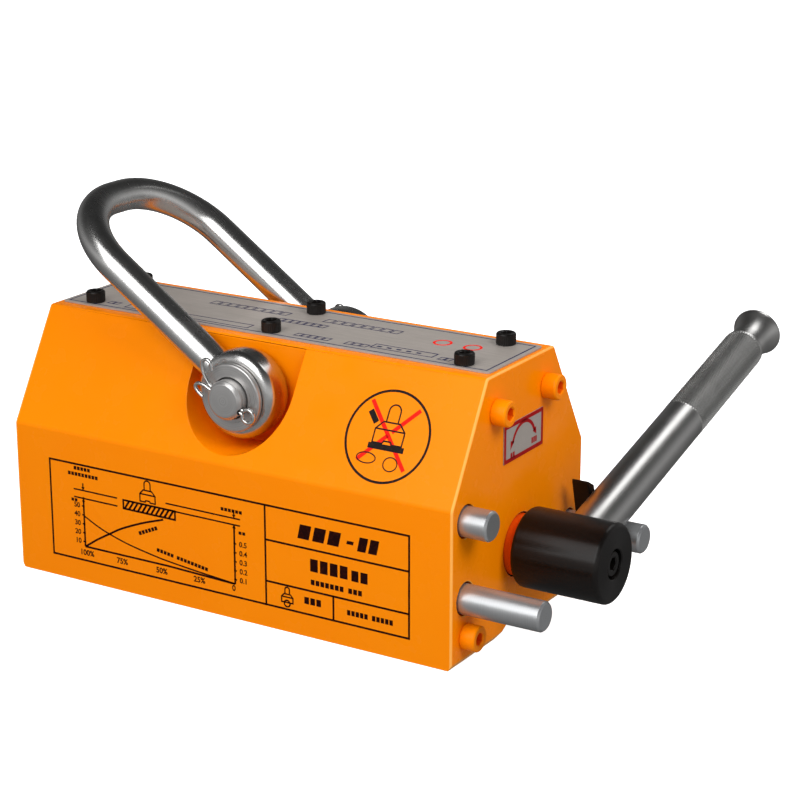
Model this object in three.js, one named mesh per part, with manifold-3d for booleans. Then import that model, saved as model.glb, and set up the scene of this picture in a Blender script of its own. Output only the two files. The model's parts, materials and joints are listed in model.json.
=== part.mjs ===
// Permanent lifting magnet: a switchable magnet block with a swinging shackle and a turning handle.
// Millimetres, +Z up. The block's length runs along X and its handle end faces +X.
// Pole faces lie at z = 0, and the front pole shoe is on the -Y side.
import * as THREE from "three";
import { mergeVertices } from "three/addons/utils/BufferGeometryUtils.js";
import Module from "manifold-3d";

const wasm = await Module();
wasm.setup();

// ---------------------------------------------------------------- driving dimensions
const seam = 0.2; // gap between fixed neighbours
const boreGap = 0.3; // radial gap round a fastener or pin in its hole

const bodyLength = 264;
const baseWidth = 132;
const topWidth = 67;
const bodyHeight = 137;
const shoulderHeight = 80.5; // the sides are upright below it and slant above it
const endPlateThickness = 12;
const grooveHalfWidth = 21; // V-groove along the underside, for round stock
const grooveDepth = 11;
const bridgeBottom = 96; // height where the top bridge meets the pole shoes

const rotorAxisHeight = 43.5;
const boreRadius = 28.6;
const rotorRadius = 28.2;
const rotorStackLength = 212;
const rotorFlangeThickness = 9.6;
const rotorMagnetHalf = [12, 23.5]; // half thickness across, half width along, of the magnet slab
const stripHalfWidth = 6; // brass strip between the pole shoes, at the groove's apex
const fixedMagnetHalfWidth = 16;
const magnetCount = 3;

const journalRadius = 11;
const spindleRadius = 8;
const runningGap = 0.1;
const bushWall = 2.3;
const bossRadius = 15.6;
const bossProud = 4.6;
const bossFlange = [20, 2.8]; // radius, thickness
const spindleEnd = 168;

const hubStart = 137;
const hubEnd = 184.4;
const hubRadius = 20.25;
const hubRounding = 2.5;

const barX = 160; // the handle's plane
const barRadius = 11.4;
const gripRadius = 11.7;
const barInner = 16.7; // distances along the handle, from the rotor axis
const spigotEnd = 9;
const gripStart = 130;
const gripEnd = 214;
const neckAt = 218;
const neckRadius = 10.3;
const rimRadius = 13.6;
const barEnd = 233;

const stopPinRadius = 7.5;
const stopPinRoot = 112; // pins start inside the pole shoes
const frontUpperPin = { y: -53.2, z: 72.3, end: 146.6 };
const frontLowerPin = { y: -53.4, z: 33.2, end: 175.2 };
const rearPin = { y: 52.4, z: 37.5, end: 175.2 };
const stopGap = 0.3;

const shacklePinHeight = 112.4;
const shacklePinRadius = 10;
const shacklePinHalf = 63.2;
const shackleLean = 55; // degrees from upright, towards -X, where the bow rests
const bowHalfSpan = 45;
const bowReach = 135.8; // pin axis to the crown's centre line
const bowCornerRadius = 41;
const bowBarRadius = 8.5;
const eyeRadius = 22.5;
const eyeInner = 34.6;
const eyeOuter = 54;
const eyeSide = 44.5; // from here the eye narrows towards the block
const eyeFootRadius = 18;
const pocketRadius = 31;
const pocketMiddle = -1.4;
const pocketCentreHeight = 115.5;
const pocketFloor = 34;
const splitPinAt = 60.2;
const splitPinTilt = -27; // degrees from +X to the split pin's eye, in the XZ plane

const m8 = { head: 6.5, headHeight: 8, shank: 3.9, socket: 6, socketDepth: 4.5 };
const m6 = { head: 5, headHeight: 6, shank: 2.9, socket: 5, socketDepth: 3.2 };
const endScrewSpots = [[-25.4, 118.7], [25.4, 118.7], [-52.8, 13.9], [52.8, 13.9]];
const endScrewReach = 22;
const farScrewReach = 13.8;
const farScrewSink = 8.4; // the far end's screw heads sit just below its face
const topScrewX = [-111.7, 0, 111.7];
const topScrewY = 20.5;
const topScrewReach = 14;

const namePlate = { halfLength: 128.8, halfWidth: 27, thickness: 0.8 };
const directionPlate = { y: [-18.1, 21.3], z: [89.8, 109], thickness: 0.5 };
const plateLift = 0.1;

// ---------------------------------------------------------------- derived sizes
const degree = Math.PI / 180;
const halfLength = bodyLength / 2;
const coreHalf = halfLength - endPlateThickness - seam;
const plateInner = halfLength - endPlateThickness;
const stackHalf = rotorStackLength / 2;
const flangeOuter = stackHalf + seam + rotorFlangeThickness;
const slantHalfWidth = (z) =>
  baseWidth / 2 -
  ((z - shoulderHeight) * (baseWidth - topWidth)) / 2 / (bodyHeight - shoulderHeight);
const grooveHeight = (y) => grooveDepth * (1 - Math.abs(y) / grooveHalfWidth);

// Angle from +Y at which the bar comes to rest on a stop pin; side is -1 below it, +1 above it.
function restAngle(pin, side) {
  const drop = pin.z - rotorAxisHeight;
  const lift = Math.asin((barRadius + stopPinRadius + stopGap) / Math.hypot(pin.y, drop));
  return Math.atan2(drop, pin.y) + side * lift;
}
const offAngle = restAngle(rearPin, 1);

// ---------------------------------------------------------------- geometry helpers
// Position-only, vertex-merged copy of a geometry, turned to face outwards.
function closed(geometry) {
  const bare = new THREE.BufferGeometry();
  bare.setAttribute("position", geometry.getAttribute("position").clone());
  if (geometry.index) bare.setIndex(geometry.index.clone());
  const merged = mergeVertices(bare, 1e-4);
  const index = merged.index.array;
  const kept = [];
  for (let i = 0; i < index.length; i += 3) {
    const [a, b, c] = [index[i], index[i + 1], index[i + 2]];
    if (a !== b && b !== c && a !== c) kept.push(a, b, c);
  }
  merged.setIndex(kept);
  if (signedVolume(merged) < 0) merged.setIndex(kept.reverse());
  return merged;
}

function signedVolume(geometry) {
  const at = geometry.getAttribute("position");
  const index = geometry.index.array;
  const corner = (i) => new THREE.Vector3().fromBufferAttribute(at, index[i]);
  let total = 0;
  for (let i = 0; i < index.length; i += 3) {
    total += corner(i).dot(corner(i + 1).cross(corner(i + 2)));
  }
  return total / 6;
}

function solid(geometry) {
  const mesh = closed(geometry);
  return new wasm.Manifold(
    new wasm.Mesh({
      numProp: 3,
      vertProperties: mesh.getAttribute("position").array,
      triVerts: new Uint32Array(mesh.index.array),
    }),
  );
}

function geometryOf(manifold) {
  const mesh = manifold.getMesh();
  const geometry = new THREE.BufferGeometry();
  geometry.setAttribute("position", new THREE.BufferAttribute(mesh.vertProperties, 3));
  geometry.setIndex(Array.from(mesh.triVerts));
  return geometry;
}

function cut(base, cutters) {
  return geometryOf(cutters.reduce((left, cutter) => left.subtract(solid(cutter)), solid(base)));
}

function join(pieces) {
  return geometryOf(pieces.map(solid).reduce((whole, piece) => whole.add(piece)));
}

function boxBetween(low, high) {
  const size = high.map((value, i) => value - low[i]);
  const box = new THREE.BoxGeometry(...size);
  return box.translate(...low.map((value, i) => value + size[i] / 2));
}

function shapeOf(points) {
  return new THREE.Shape(points.map(([u, v]) => new THREE.Vector2(u, v)));
}

function hole(shape, u, v, radius) {
  shape.holes.push(new THREE.Path().absarc(u, v, radius, 0, 2 * Math.PI, true));
}

// Extrusions of a 2D shape: prismX reads it as (y, z), prismY as (x, z) and prismZ as (x, y).
function prism(shape, from, to, basis, segments) {
  const depth = to - from;
  const geometry = new THREE.ExtrudeGeometry(shape, {
    depth,
    bevelEnabled: false,
    curveSegments: segments,
  });
  return geometry.applyMatrix4(basis);
}
const unit = {
  x: new THREE.Vector3(1, 0, 0),
  y: new THREE.Vector3(0, 1, 0),
  z: new THREE.Vector3(0, 0, 1),
};
function prismX(shape, from, to, segments = 12) {
  const basis = new THREE.Matrix4().makeBasis(unit.y, unit.z, unit.x).setPosition(from, 0, 0);
  return prism(shape, from, to, basis, segments);
}
function prismY(shape, from, to, segments = 12) {
  const back = unit.y.clone().negate();
  const basis = new THREE.Matrix4().makeBasis(unit.x, unit.z, back).setPosition(0, to, 0);
  return prism(shape, from, to, basis, segments);
}
function prismZ(shape, from, to, segments = 12) {
  return prism(shape, from, to, new THREE.Matrix4().setPosition(0, 0, from), segments);
}

// Turned shapes: profile points are [radius, distance along the axis].
function turned(profile, segments = 32) {
  return new THREE.LatheGeometry(profile.map(([r, s]) => new THREE.Vector2(r, s)), segments);
}
const turnedX = (profile, segments) => turned(profile, segments).rotateZ(-Math.PI / 2);
function ring(inner, outer, from, to) {
  return [[inner, from], [outer, from], [outer, to], [inner, to], [inner, from]];
}
function rod(radius, from, to, chamfer = 0) {
  return [
    [0, from],
    [radius - chamfer, from],
    ...(chamfer ? [[radius, from + chamfer], [radius, to - chamfer]] : [[radius, to]]),
    ...(chamfer ? [[radius - chamfer, to]] : []),
    [0, to],
  ];
}
const rodX = (radius, from, to, segments = 24) => turnedX(rod(radius, from, to), segments);
const rodY = (radius, from, to, segments = 24) => turned(rod(radius, from, to), segments);
const rodZ = (radius, from, to, segments = 24) => rodY(radius, from, to, segments).rotateX(Math.PI / 2);

function tube(curve, radius, sides, steps) {
  const section = new THREE.Shape();
  for (let i = 0; i < sides; i += 1) {
    const angle = (2 * Math.PI * i) / sides;
    const place = [radius * Math.cos(angle), radius * Math.sin(angle)];
    if (i) section.lineTo(...place);
    else section.moveTo(...place);
  }
  return new THREE.ExtrudeGeometry(section, { extrudePath: curve, steps, curveSegments: 1 });
}

// ---------------------------------------------------------------- materials and placing
const paint = { color: 0xf98a00, roughness: 0.35, metalness: 0 };
const steel = { color: 0x9a9a9a, roughness: 0.3, metalness: 1 };
const polished = { color: 0xc8c8ca, roughness: 0.12, metalness: 1 };
const black = { color: 0x14110f, roughness: 0.4, metalness: 0.3 };
const nickel = { color: 0xb9b6ae, roughness: 0.25, metalness: 1 };
const brass = { color: 0xb98d3e, roughness: 0.35, metalness: 1 };
const plateFoil = { color: 0x958f89, roughness: 0.35, metalness: 0.6 };

function piece(parent, name, geometry, look) {
  const facing = closed(geometry);
  facing.computeVertexNormals();
  const mesh = new THREE.Mesh(facing, new THREE.MeshStandardMaterial(look));
  mesh.name = name;
  parent.add(mesh);
  return mesh;
}

// ---------------------------------------------------------------- shared cutters
function pocketCutter(side) {
  const shape = new THREE.Shape();
  shape.moveTo(pocketMiddle + pocketRadius, bodyHeight + 5);
  shape.lineTo(pocketMiddle + pocketRadius, pocketCentreHeight);
  shape.absarc(pocketMiddle, pocketCentreHeight, pocketRadius, 0, -Math.PI, true);
  shape.lineTo(pocketMiddle - pocketRadius, bodyHeight + 5);
  const reach = baseWidth / 2 + 5;
  return side < 0 ? prismY(shape, -reach, -pocketFloor, 15) : prismY(shape, pocketFloor, reach, 15);
}

function endScrewHoles(spots) {
  const reach = coreHalf - endScrewReach + endPlateThickness;
  return spots.flatMap(([y, z]) => [
    rodX(m8.shank + boreGap, reach - 2, coreHalf + 1, 16).translate(0, y, z),
    rodX(m8.shank + boreGap, -coreHalf - 1, 2 - reach, 16).translate(0, y, z),
  ]);
}

function topScrewHoles() {
  const bottom = bodyHeight - topScrewReach - 0.5;
  return topScrewX.flatMap((x) =>
    [-topScrewY, topScrewY].map((y) =>
      rodZ(m6.shank + boreGap, bottom, bodyHeight + 1, 16).translate(x, y, 0),
    ),
  );
}

// ---------------------------------------------------------------- magnet block
function poleShoe(side) {
  const lower = Math.acos((stripHalfWidth + seam / 2) / boreRadius);
  const upper = Math.acos((fixedMagnetHalfWidth + seam) / boreRadius);
  const stripSide = stripHalfWidth + seam / 2;
  const top = bridgeBottom - seam;
  const shape = new THREE.Shape();
  shape.moveTo((side * baseWidth) / 2, 0);
  shape.lineTo(side * grooveHalfWidth, 0);
  shape.lineTo(side * stripSide, grooveHeight(stripSide));
  if (side > 0) shape.absarc(0, rotorAxisHeight, boreRadius, -lower, upper, false);
  else shape.absarc(0, rotorAxisHeight, boreRadius, Math.PI + lower, Math.PI - upper, true);
  shape.lineTo(side * (fixedMagnetHalfWidth + seam), top);
  shape.lineTo(side * slantHalfWidth(top), top);
  shape.lineTo((side * baseWidth) / 2, shoulderHeight);
  const pins = side < 0 ? [frontUpperPin, frontLowerPin] : [rearPin];
  const cutters = [
    pocketCutter(side),
    ...endScrewHoles(endScrewSpots.filter(([y, z]) => y * side > 0 && z < bridgeBottom)),
    ...pins.map((pin) =>
      rodX(stopPinRadius + boreGap, stopPinRoot - 1, coreHalf + 1).translate(0, pin.y, pin.z),
    ),
  ];
  return cut(prismX(shape, -coreHalf, coreHalf, 12), cutters);
}

function topBridge() {
  const shape = shapeOf([
    [-slantHalfWidth(bridgeBottom), bridgeBottom],
    [slantHalfWidth(bridgeBottom), bridgeBottom],
    [topWidth / 2, bodyHeight],
    [-topWidth / 2, bodyHeight],
  ]);
  const cutters = [
    pocketCutter(-1),
    pocketCutter(1),
    rodY(shacklePinRadius + boreGap, -baseWidth / 2, baseWidth / 2, 32).translate(0, 0, shacklePinHeight),
    ...endScrewHoles(endScrewSpots.filter(([, z]) => z > bridgeBottom)),
    ...topScrewHoles(),
  ];
  return cut(prismX(shape, -coreHalf, coreHalf), cutters);
}

function grooveStrip() {
  const corner = Math.acos(stripHalfWidth / boreRadius);
  const shape = new THREE.Shape();
  shape.moveTo(0, grooveHeight(0));
  shape.lineTo(stripHalfWidth, grooveHeight(stripHalfWidth));
  shape.absarc(0, rotorAxisHeight, boreRadius, -corner, corner - Math.PI, true);
  shape.lineTo(-stripHalfWidth, grooveHeight(stripHalfWidth));
  return prismX(shape, -coreHalf, coreHalf, 6);
}

function fixedMagnet(i) {
  const length = (2 * coreHalf - seam * (magnetCount - 1)) / magnetCount;
  const start = -coreHalf + i * (length + seam);
  const bottom = rotorAxisHeight + boreRadius + 0.5;
  return boxBetween(
    [start, -fixedMagnetHalfWidth, bottom],
    [start + length, fixedMagnetHalfWidth, bridgeBottom - 2 * seam],
  );
}

// The section of the block, with the V-groove, as both end plates have it.
function endOutline() {
  return shapeOf([
    [-baseWidth / 2, 0],
    [-grooveHalfWidth, 0],
    [0, grooveDepth],
    [grooveHalfWidth, 0],
    [baseWidth / 2, 0],
    [baseWidth / 2, shoulderHeight],
    [topWidth / 2, bodyHeight],
    [-topWidth / 2, bodyHeight],
    [-baseWidth / 2, shoulderHeight],
  ]);
}

const toeChamfer = { along: 2, up: 3 };
function toeCutter(side) {
  const edge = side * halfLength;
  const shape = shapeOf([
    [edge - side * toeChamfer.along, 0],
    [edge, toeChamfer.up],
    [edge + side, toeChamfer.up],
    [edge + side, -1],
    [edge - side * toeChamfer.along, -1],
  ]);
  return prismY(shape, -baseWidth, baseWidth);
}

function driveEndPlate() {
  const outline = endOutline();
  hole(outline, 0, rotorAxisHeight, bossRadius + 0.7);
  for (const pin of [frontUpperPin, frontLowerPin, rearPin]) {
    hole(outline, pin.y, pin.z, stopPinRadius + 0.9);
  }
  for (const [y, z] of endScrewSpots) hole(outline, y, z, m8.shank + boreGap);
  const recess = rodX(bossFlange[0] + 0.4, plateInner - 1, plateInner + bossFlange[1] + 0.5, 32);
  return cut(prismX(outline, plateInner, halfLength), [
    toeCutter(1),
    recess.translate(0, 0, rotorAxisHeight),
  ]);
}

const farBearingDepth = 9.2;
function farEndPlate() {
  const outline = endOutline();
  for (const [y, z] of endScrewSpots) hole(outline, y, z, m8.shank + boreGap);
  const seat = rodX(bushOuter + boreGap, -plateInner - farBearingDepth - seam, 1 - plateInner, 32);
  const counterbores = endScrewSpots.map(([y, z]) =>
    rodX(m8.head + 0.4, -halfLength - 1, farScrewSink - halfLength, 24).translate(0, y, z),
  );
  return cut(prismX(outline, -halfLength, -plateInner), [
    toeCutter(-1),
    seat.translate(0, 0, rotorAxisHeight),
    ...counterbores,
  ]);
}

const bushInner = journalRadius + runningGap;
const bushOuter = bushInner + bushWall;
const driveBush = () => turnedX(ring(bushInner, bushOuter, plateInner + 1, halfLength + 4.2), 32);
const farBush = () =>
  turnedX(ring(bushInner, bushOuter, -plateInner - farBearingDepth, -plateInner - seam), 32);

function bearingBoss() {
  const inner = bushOuter + 0.2;
  const base = plateInner + seam;
  const flangeTop = base + bossFlange[1];
  const face = halfLength + bossProud;
  return turnedX(
    [
      [inner, base],
      [bossFlange[0], base],
      [bossFlange[0], flangeTop],
      [bossRadius, flangeTop],
      [bossRadius, face - 0.8],
      [bossRadius - 0.8, face],
      [inner, face],
      [inner, base],
    ],
    32,
  );
}

function thrustWasher(side) {
  const [from, to] = [flangeOuter + 0.3, coreHalf - 0.3];
  const profile = side > 0 ? ring(13, 24, from, to) : ring(13, 24, -to, -from);
  return turnedX(profile, 32);
}

// ---------------------------------------------------------------- fasteners
// A socket cap screw with the underside of its head at the origin and its head towards +Z.
function capScrew(size, reach) {
  const edge = 0.6;
  const body = turned(
    [
      [0, -reach],
      [size.shank, -reach],
      [size.shank, 0],
      [size.head, 0],
      [size.head, size.headHeight - edge],
      [size.head - edge, size.headHeight],
      [0, size.headHeight],
    ],
    16,
  ).rotateX(Math.PI / 2);
  const socketRadius = size.socket / Math.sqrt(3);
  const from = size.headHeight - size.socketDepth;
  return cut(body, [rodZ(socketRadius, from, size.headHeight + 1, 6)]);
}

function addEndScrews(parent, name, side, seat, reach) {
  endScrewSpots.forEach(([y, z], i) => {
    const screw = piece(parent, `${name}_${i + 1}`, capScrew(m8, reach), paint);
    screw.rotation.y = (side * Math.PI) / 2;
    screw.position.set(side * (seat + plateLift), y, z);
  });
}

function addTopScrews(parent) {
  const seat = bodyHeight + plateLift + namePlate.thickness + plateLift;
  let count = 0;
  for (const x of topScrewX) {
    for (const y of [-topScrewY, topScrewY]) {
      count += 1;
      const screw = piece(parent, `top_screw_${count}`, capScrew(m6, topScrewReach), black);
      screw.position.set(x, y, seat);
    }
  }
}

function stopPin(pin) {
  const geometry = turnedX(rod(stopPinRadius, stopPinRoot, pin.end, 1), 32);
  return geometry.translate(0, pin.y, pin.z);
}

function topPlate() {
  const { halfLength: across, halfWidth, thickness } = namePlate;
  const shape = shapeOf([
    [-across, -halfWidth],
    [across, -halfWidth],
    [across, halfWidth],
    [-across, halfWidth],
  ]);
  for (const x of topScrewX) {
    for (const y of [-topScrewY, topScrewY]) hole(shape, x, y, m6.shank + boreGap);
  }
  return prismZ(shape, bodyHeight + plateLift, bodyHeight + plateLift + thickness, 6);
}

function directionLabel() {
  const { y, z, thickness } = directionPlate;
  const face = halfLength + plateLift;
  return boxBetween([face, y[0], z[0]], [face + thickness, y[1], z[1]]);
}

// ---------------------------------------------------------------- rotor, in its own turned frame
// Local X is the rotor axis and local Y runs out along the handle.
function rotorSegment(side) {
  const inner = rotorMagnetHalf[0] + seam;
  const corner = Math.acos(inner / rotorRadius);
  const middle = side > 0 ? 0 : Math.PI;
  const shape = new THREE.Shape();
  shape.absarc(0, 0, rotorRadius, middle - corner, middle + corner, false);
  hole(shape, side * tieBoltAt, 0, tieBoltRadius + boreGap);
  return prismX(shape, -stackHalf, stackHalf, 10);
}

function rotorSideStrip(side) {
  const [halfThickness, halfWidth] = rotorMagnetHalf;
  const inner = halfWidth + seam;
  const corner = Math.asin(halfThickness / rotorRadius);
  const middle = (side * Math.PI) / 2;
  const shape = new THREE.Shape();
  shape.absarc(0, 0, rotorRadius, middle - corner, middle + corner, false);
  shape.lineTo(-side * halfThickness, side * inner);
  shape.lineTo(side * halfThickness, side * inner);
  return prismX(shape, -stackHalf, stackHalf, 5);
}

function rotorMagnet(i) {
  const length = (rotorStackLength - seam * (magnetCount - 1)) / magnetCount;
  const start = -stackHalf + i * (length + seam);
  const [halfThickness, halfWidth] = rotorMagnetHalf;
  return boxBetween([start, -halfThickness, -halfWidth], [start + length, halfThickness, halfWidth]);
}

const tieBoltAt = 20;
const tieBoltRadius = 3;
const tieBoltHalf = flangeOuter - 0.5;
const tieBolt = (side) =>
  rodX(tieBoltRadius, -tieBoltHalf, tieBoltHalf, 16).translate(0, side * tieBoltAt, 0);
const tieHoles = () =>
  [-1, 1].map((side) =>
    rodX(tieBoltRadius + boreGap, -halfLength, halfLength, 16).translate(0, side * tieBoltAt, 0),
  );

const key = { from: 141, to: 163, low: -10.6, high: -5.6, half: 2.5 };
const hubScrewSeat = 175.4;
const hubScrewReach = 22;

function driveShaft() {
  const body = turnedX(
    [
      [0, stackHalf + seam],
      [rotorRadius, stackHalf + seam],
      [rotorRadius, flangeOuter],
      [journalRadius, flangeOuter],
      [journalRadius, hubStart - 0.4],
      [spindleRadius, hubStart - 0.4],
      [spindleRadius, spindleEnd],
      [0, spindleEnd],
    ],
    32,
  );
  const keyway = boxBetween(
    [key.from - seam, key.low, -key.half - seam],
    [key.to + seam, key.high + seam, key.half + seam],
  );
  const thread = rodX(m8.shank + boreGap, hubScrewSeat - hubScrewReach - 1, spindleEnd + 1, 16);
  return cut(body, [keyway, thread, ...tieHoles()]);
}

function farShaft() {
  const tip = -plateInner - farBearingDepth + 0.4;
  const body = turnedX(
    [
      [0, tip],
      [journalRadius, tip],
      [journalRadius, -flangeOuter],
      [rotorRadius, -flangeOuter],
      [rotorRadius, -stackHalf - seam],
      [0, -stackHalf - seam],
    ],
    32,
  );
  return cut(body, tieHoles());
}

const driveKey = () =>
  boxBetween([key.from, key.low, -key.half], [key.to, key.high, key.half]);

// ---------------------------------------------------------------- hub, handle and catch
function quarterRound(centre, radius, from, to, steps) {
  return Array.from({ length: steps + 1 }, (_, i) => {
    const angle = (from + ((to - from) * i) / steps) * degree;
    return [centre[0] + radius * Math.cos(angle), centre[1] + radius * Math.sin(angle)];
  });
}

function handleHub() {
  const bore = spindleRadius + 0.15;
  const shoulder = spindleEnd + 0.4;
  const counterbore = 7.6;
  const inset = hubRadius - hubRounding;
  const body = turnedX(
    [
      [bore, hubStart],
      ...quarterRound([inset, hubStart + hubRounding], hubRounding, -90, 0, 3),
      ...quarterRound([inset, hubEnd - hubRounding], hubRounding, 0, 90, 3),
      [counterbore, hubEnd],
      [counterbore, hubScrewSeat - seam],
      [m8.shank + boreGap, hubScrewSeat - seam],
      [m8.shank + boreGap, shoulder],
      [bore, shoulder],
      [bore, hubStart],
    ],
    32,
  );
  const socket = rodY(barRadius + boreGap, barInner - seam, hubRadius + 5, 32);
  const thread = rodY(spindleRadius + seam, 0, barInner, 24);
  const keyway = boxBetween(
    [hubStart - 1, key.low - seam, -key.half - seam],
    [spindleEnd, -spindleRadius + 1, key.half + seam],
  );
  return cut(body, [socket.translate(barX, 0, 0), thread.translate(barX, 0, 0), keyway]);
}

const slide = { from: 33, to: 62.4, neckHalf: 2.1, neckFloor: 150.8, headHalf: 3.5, headFloor: 153.6 };

function handleBar() {
  const profile = [
    [0, spigotEnd],
    [spindleRadius, spigotEnd],
    [spindleRadius, barInner],
    [barRadius, barInner],
    [barRadius, gripStart],
    [gripRadius, gripStart + 0.6],
    [gripRadius, gripEnd - 1.6],
    [gripRadius - 0.6, gripEnd],
    [neckRadius, neckAt],
    [neckRadius + 0.5, neckAt + 4],
    [neckRadius + 1.6, neckAt + 8],
    [rimRadius, barEnd - 2.4],
    [rimRadius, barEnd - 1],
    [rimRadius - 1, barEnd],
    [0, barEnd],
  ];
  const neck = boxBetween(
    [barX - barRadius - 1, slide.from, -slide.neckHalf],
    [slide.neckFloor, slide.to, slide.neckHalf],
  );
  const head = boxBetween(
    [slide.neckFloor - 0.3, slide.from, -slide.headHalf],
    [slide.headFloor, slide.to, slide.headHalf],
  );
  const bar = turned(profile, 28).translate(barX, 0, 0);
  return cut(bar, [neck, head]);
}

// A block whose leading corner is ramped, on a T-shaped foot that slides in the bar's slot.
const catchBlock = { inner: 45.6, outer: 51.6, top: 11.4, bottom: -11, from: 139, to: 148.2 };
function safetyCatch() {
  const { inner, outer, top, bottom, from, to } = catchBlock;
  const ramp = outer - inner - 1;
  const outline = shapeOf([
    [inner, bottom],
    [outer - 1, bottom],
    [outer, bottom + 1],
    [outer, top - ramp],
    [outer - ramp, top],
    [inner, top],
  ]);
  const neck = boxBetween([to - 1, inner, 0.4 - slide.neckHalf], [151.2, outer, slide.neckHalf - 0.4]);
  const foot = boxBetween([151, 34, 0.4 - slide.headHalf], [153.2, outer, slide.headHalf - 0.4]);
  return join([prismX(outline, from, to), neck, foot]);
}

// ---------------------------------------------------------------- shackle, in its own leaning frame
// Local Y is the pin axis and local Z runs from the pin to the crown.
class BowCurve extends THREE.Curve {
  getPoint(t, target = new THREE.Vector3()) {
    const leg = bowReach - bowCornerRadius - legStart;
    const arc = (Math.PI / 2) * bowCornerRadius;
    const flat = bowHalfSpan - bowCornerRadius;
    const half = leg + arc + flat;
    const travelled = 2 * half * Math.min(t, 1 - t);
    const side = t < 0.5 ? -1 : 1;
    if (travelled < leg) return target.set(0, side * bowHalfSpan, legStart + travelled);
    const turn = (travelled - leg) / bowCornerRadius;
    if (turn < Math.PI / 2) {
      const across = flat + bowCornerRadius * Math.cos(turn);
      return target.set(0, side * across, bowReach - bowCornerRadius * (1 - Math.sin(turn)));
    }
    return target.set(0, side * (half - travelled), bowReach);
  }
}
const legStart = 14;

function shackleEye(side) {
  const bore = shacklePinRadius + 0.4;
  const outerRound = 4.5;
  const narrowing = [0, 22.5, 45, 67.5, 90].map((turn) => [
    eyeFootRadius + (eyeRadius - eyeFootRadius) * Math.sin(turn * degree),
    eyeSide - (eyeSide - eyeInner) * Math.cos(turn * degree),
  ]);
  const profile = [
    [bore, eyeInner],
    ...narrowing,
    ...quarterRound([eyeRadius - outerRound, eyeOuter - outerRound], outerRound, 0, 90, 3),
    [bore, eyeOuter],
    [bore, eyeInner],
  ];
  const eye = turned(profile, 28);
  return side > 0 ? eye : eye.rotateZ(Math.PI);
}

function shackleBow() {
  const bow = tube(new BowCurve(), bowBarRadius, 14, 44);
  const joined = join([bow, shackleEye(-1), shackleEye(1)]);
  const bore = rodY(shacklePinRadius + 0.4, -baseWidth / 2, baseWidth / 2, 28);
  return cut(joined, [bore]);
}

function shacklePin() {
  const pin = turned(rod(shacklePinRadius, -shacklePinHalf, shacklePinHalf, 1.5), 28);
  const holes = [-1, 1].map((side) =>
    rodX(2.4, -2 * shacklePinRadius, 2 * shacklePinRadius, 12)
      .rotateY(-splitPinTilt * degree)
      .translate(0, side * splitPinAt, 0),
  );
  return cut(pin, holes);
}

function shackleWasher(side) {
  const profile = ring(shacklePinRadius + 0.5, 17.5, eyeOuter + 0.4, eyeOuter + 3.2);
  const washer = turned(profile, 28);
  return side > 0 ? washer : washer.rotateZ(Math.PI);
}

// Split pin: a shank across the shackle pin, a looped eye at one end and two bent legs at the other.
function splitPin() {
  const shank = rodX(2.1, -11.5, 10.9, 12);
  const loop = new THREE.TorusGeometry(3.3, 1.1, 6, 14).rotateX(Math.PI / 2).translate(14.2, 0, 0);
  const upLeg = new THREE.QuadraticBezierCurve3(
    new THREE.Vector3(-10.6, 0, 0.9),
    new THREE.Vector3(-14.5, 0, 1.2),
    new THREE.Vector3(-12.6, 0, 13),
  );
  const outLeg = new THREE.QuadraticBezierCurve3(
    new THREE.Vector3(-10.6, 0, -0.9),
    new THREE.Vector3(-15, 0, -1.4),
    new THREE.Vector3(-19.5, 0, 4),
  );
  return join([shank, loop, tube(upLeg, 1.1, 6, 5), tube(outLeg, 1.1, 6, 5)]).rotateY(
    -splitPinTilt * degree,
  );
}

// ---------------------------------------------------------------- assembly
const assembly = new THREE.Group();
const block = new THREE.Group();
assembly.add(block);

piece(block, "front_pole_shoe", poleShoe(-1), paint);
piece(block, "rear_pole_shoe", poleShoe(1), paint);
piece(block, "top_bridge", topBridge(), paint);
piece(block, "groove_strip", grooveStrip(), brass);
for (let i = 0; i < magnetCount; i += 1) {
  piece(block, `fixed_magnet_${i + 1}`, fixedMagnet(i), nickel);
}
piece(block, "drive_end_plate", driveEndPlate(), paint);
piece(block, "far_end_plate", farEndPlate(), paint);
const onRotorAxis = (geometry) => geometry.translate(0, 0, rotorAxisHeight);
piece(block, "bearing_boss", onRotorAxis(bearingBoss()), paint);
piece(block, "drive_bush", onRotorAxis(driveBush()), brass);
piece(block, "far_bush", onRotorAxis(farBush()), brass);
piece(block, "drive_thrust_washer", onRotorAxis(thrustWasher(1)), brass);
piece(block, "far_thrust_washer", onRotorAxis(thrustWasher(-1)), brass);
piece(block, "stop_pin_front_upper", stopPin(frontUpperPin), steel);
piece(block, "stop_pin_front_lower", stopPin(frontLowerPin), steel);
piece(block, "stop_pin_rear", stopPin(rearPin), steel);
piece(block, "top_plate", topPlate(), plateFoil);
piece(block, "direction_plate", directionLabel(), plateFoil);
addEndScrews(block, "drive_end_screw", 1, halfLength, endScrewReach);
addEndScrews(block, "far_end_screw", -1, halfLength - farScrewSink, farScrewReach);
addTopScrews(block);

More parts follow.
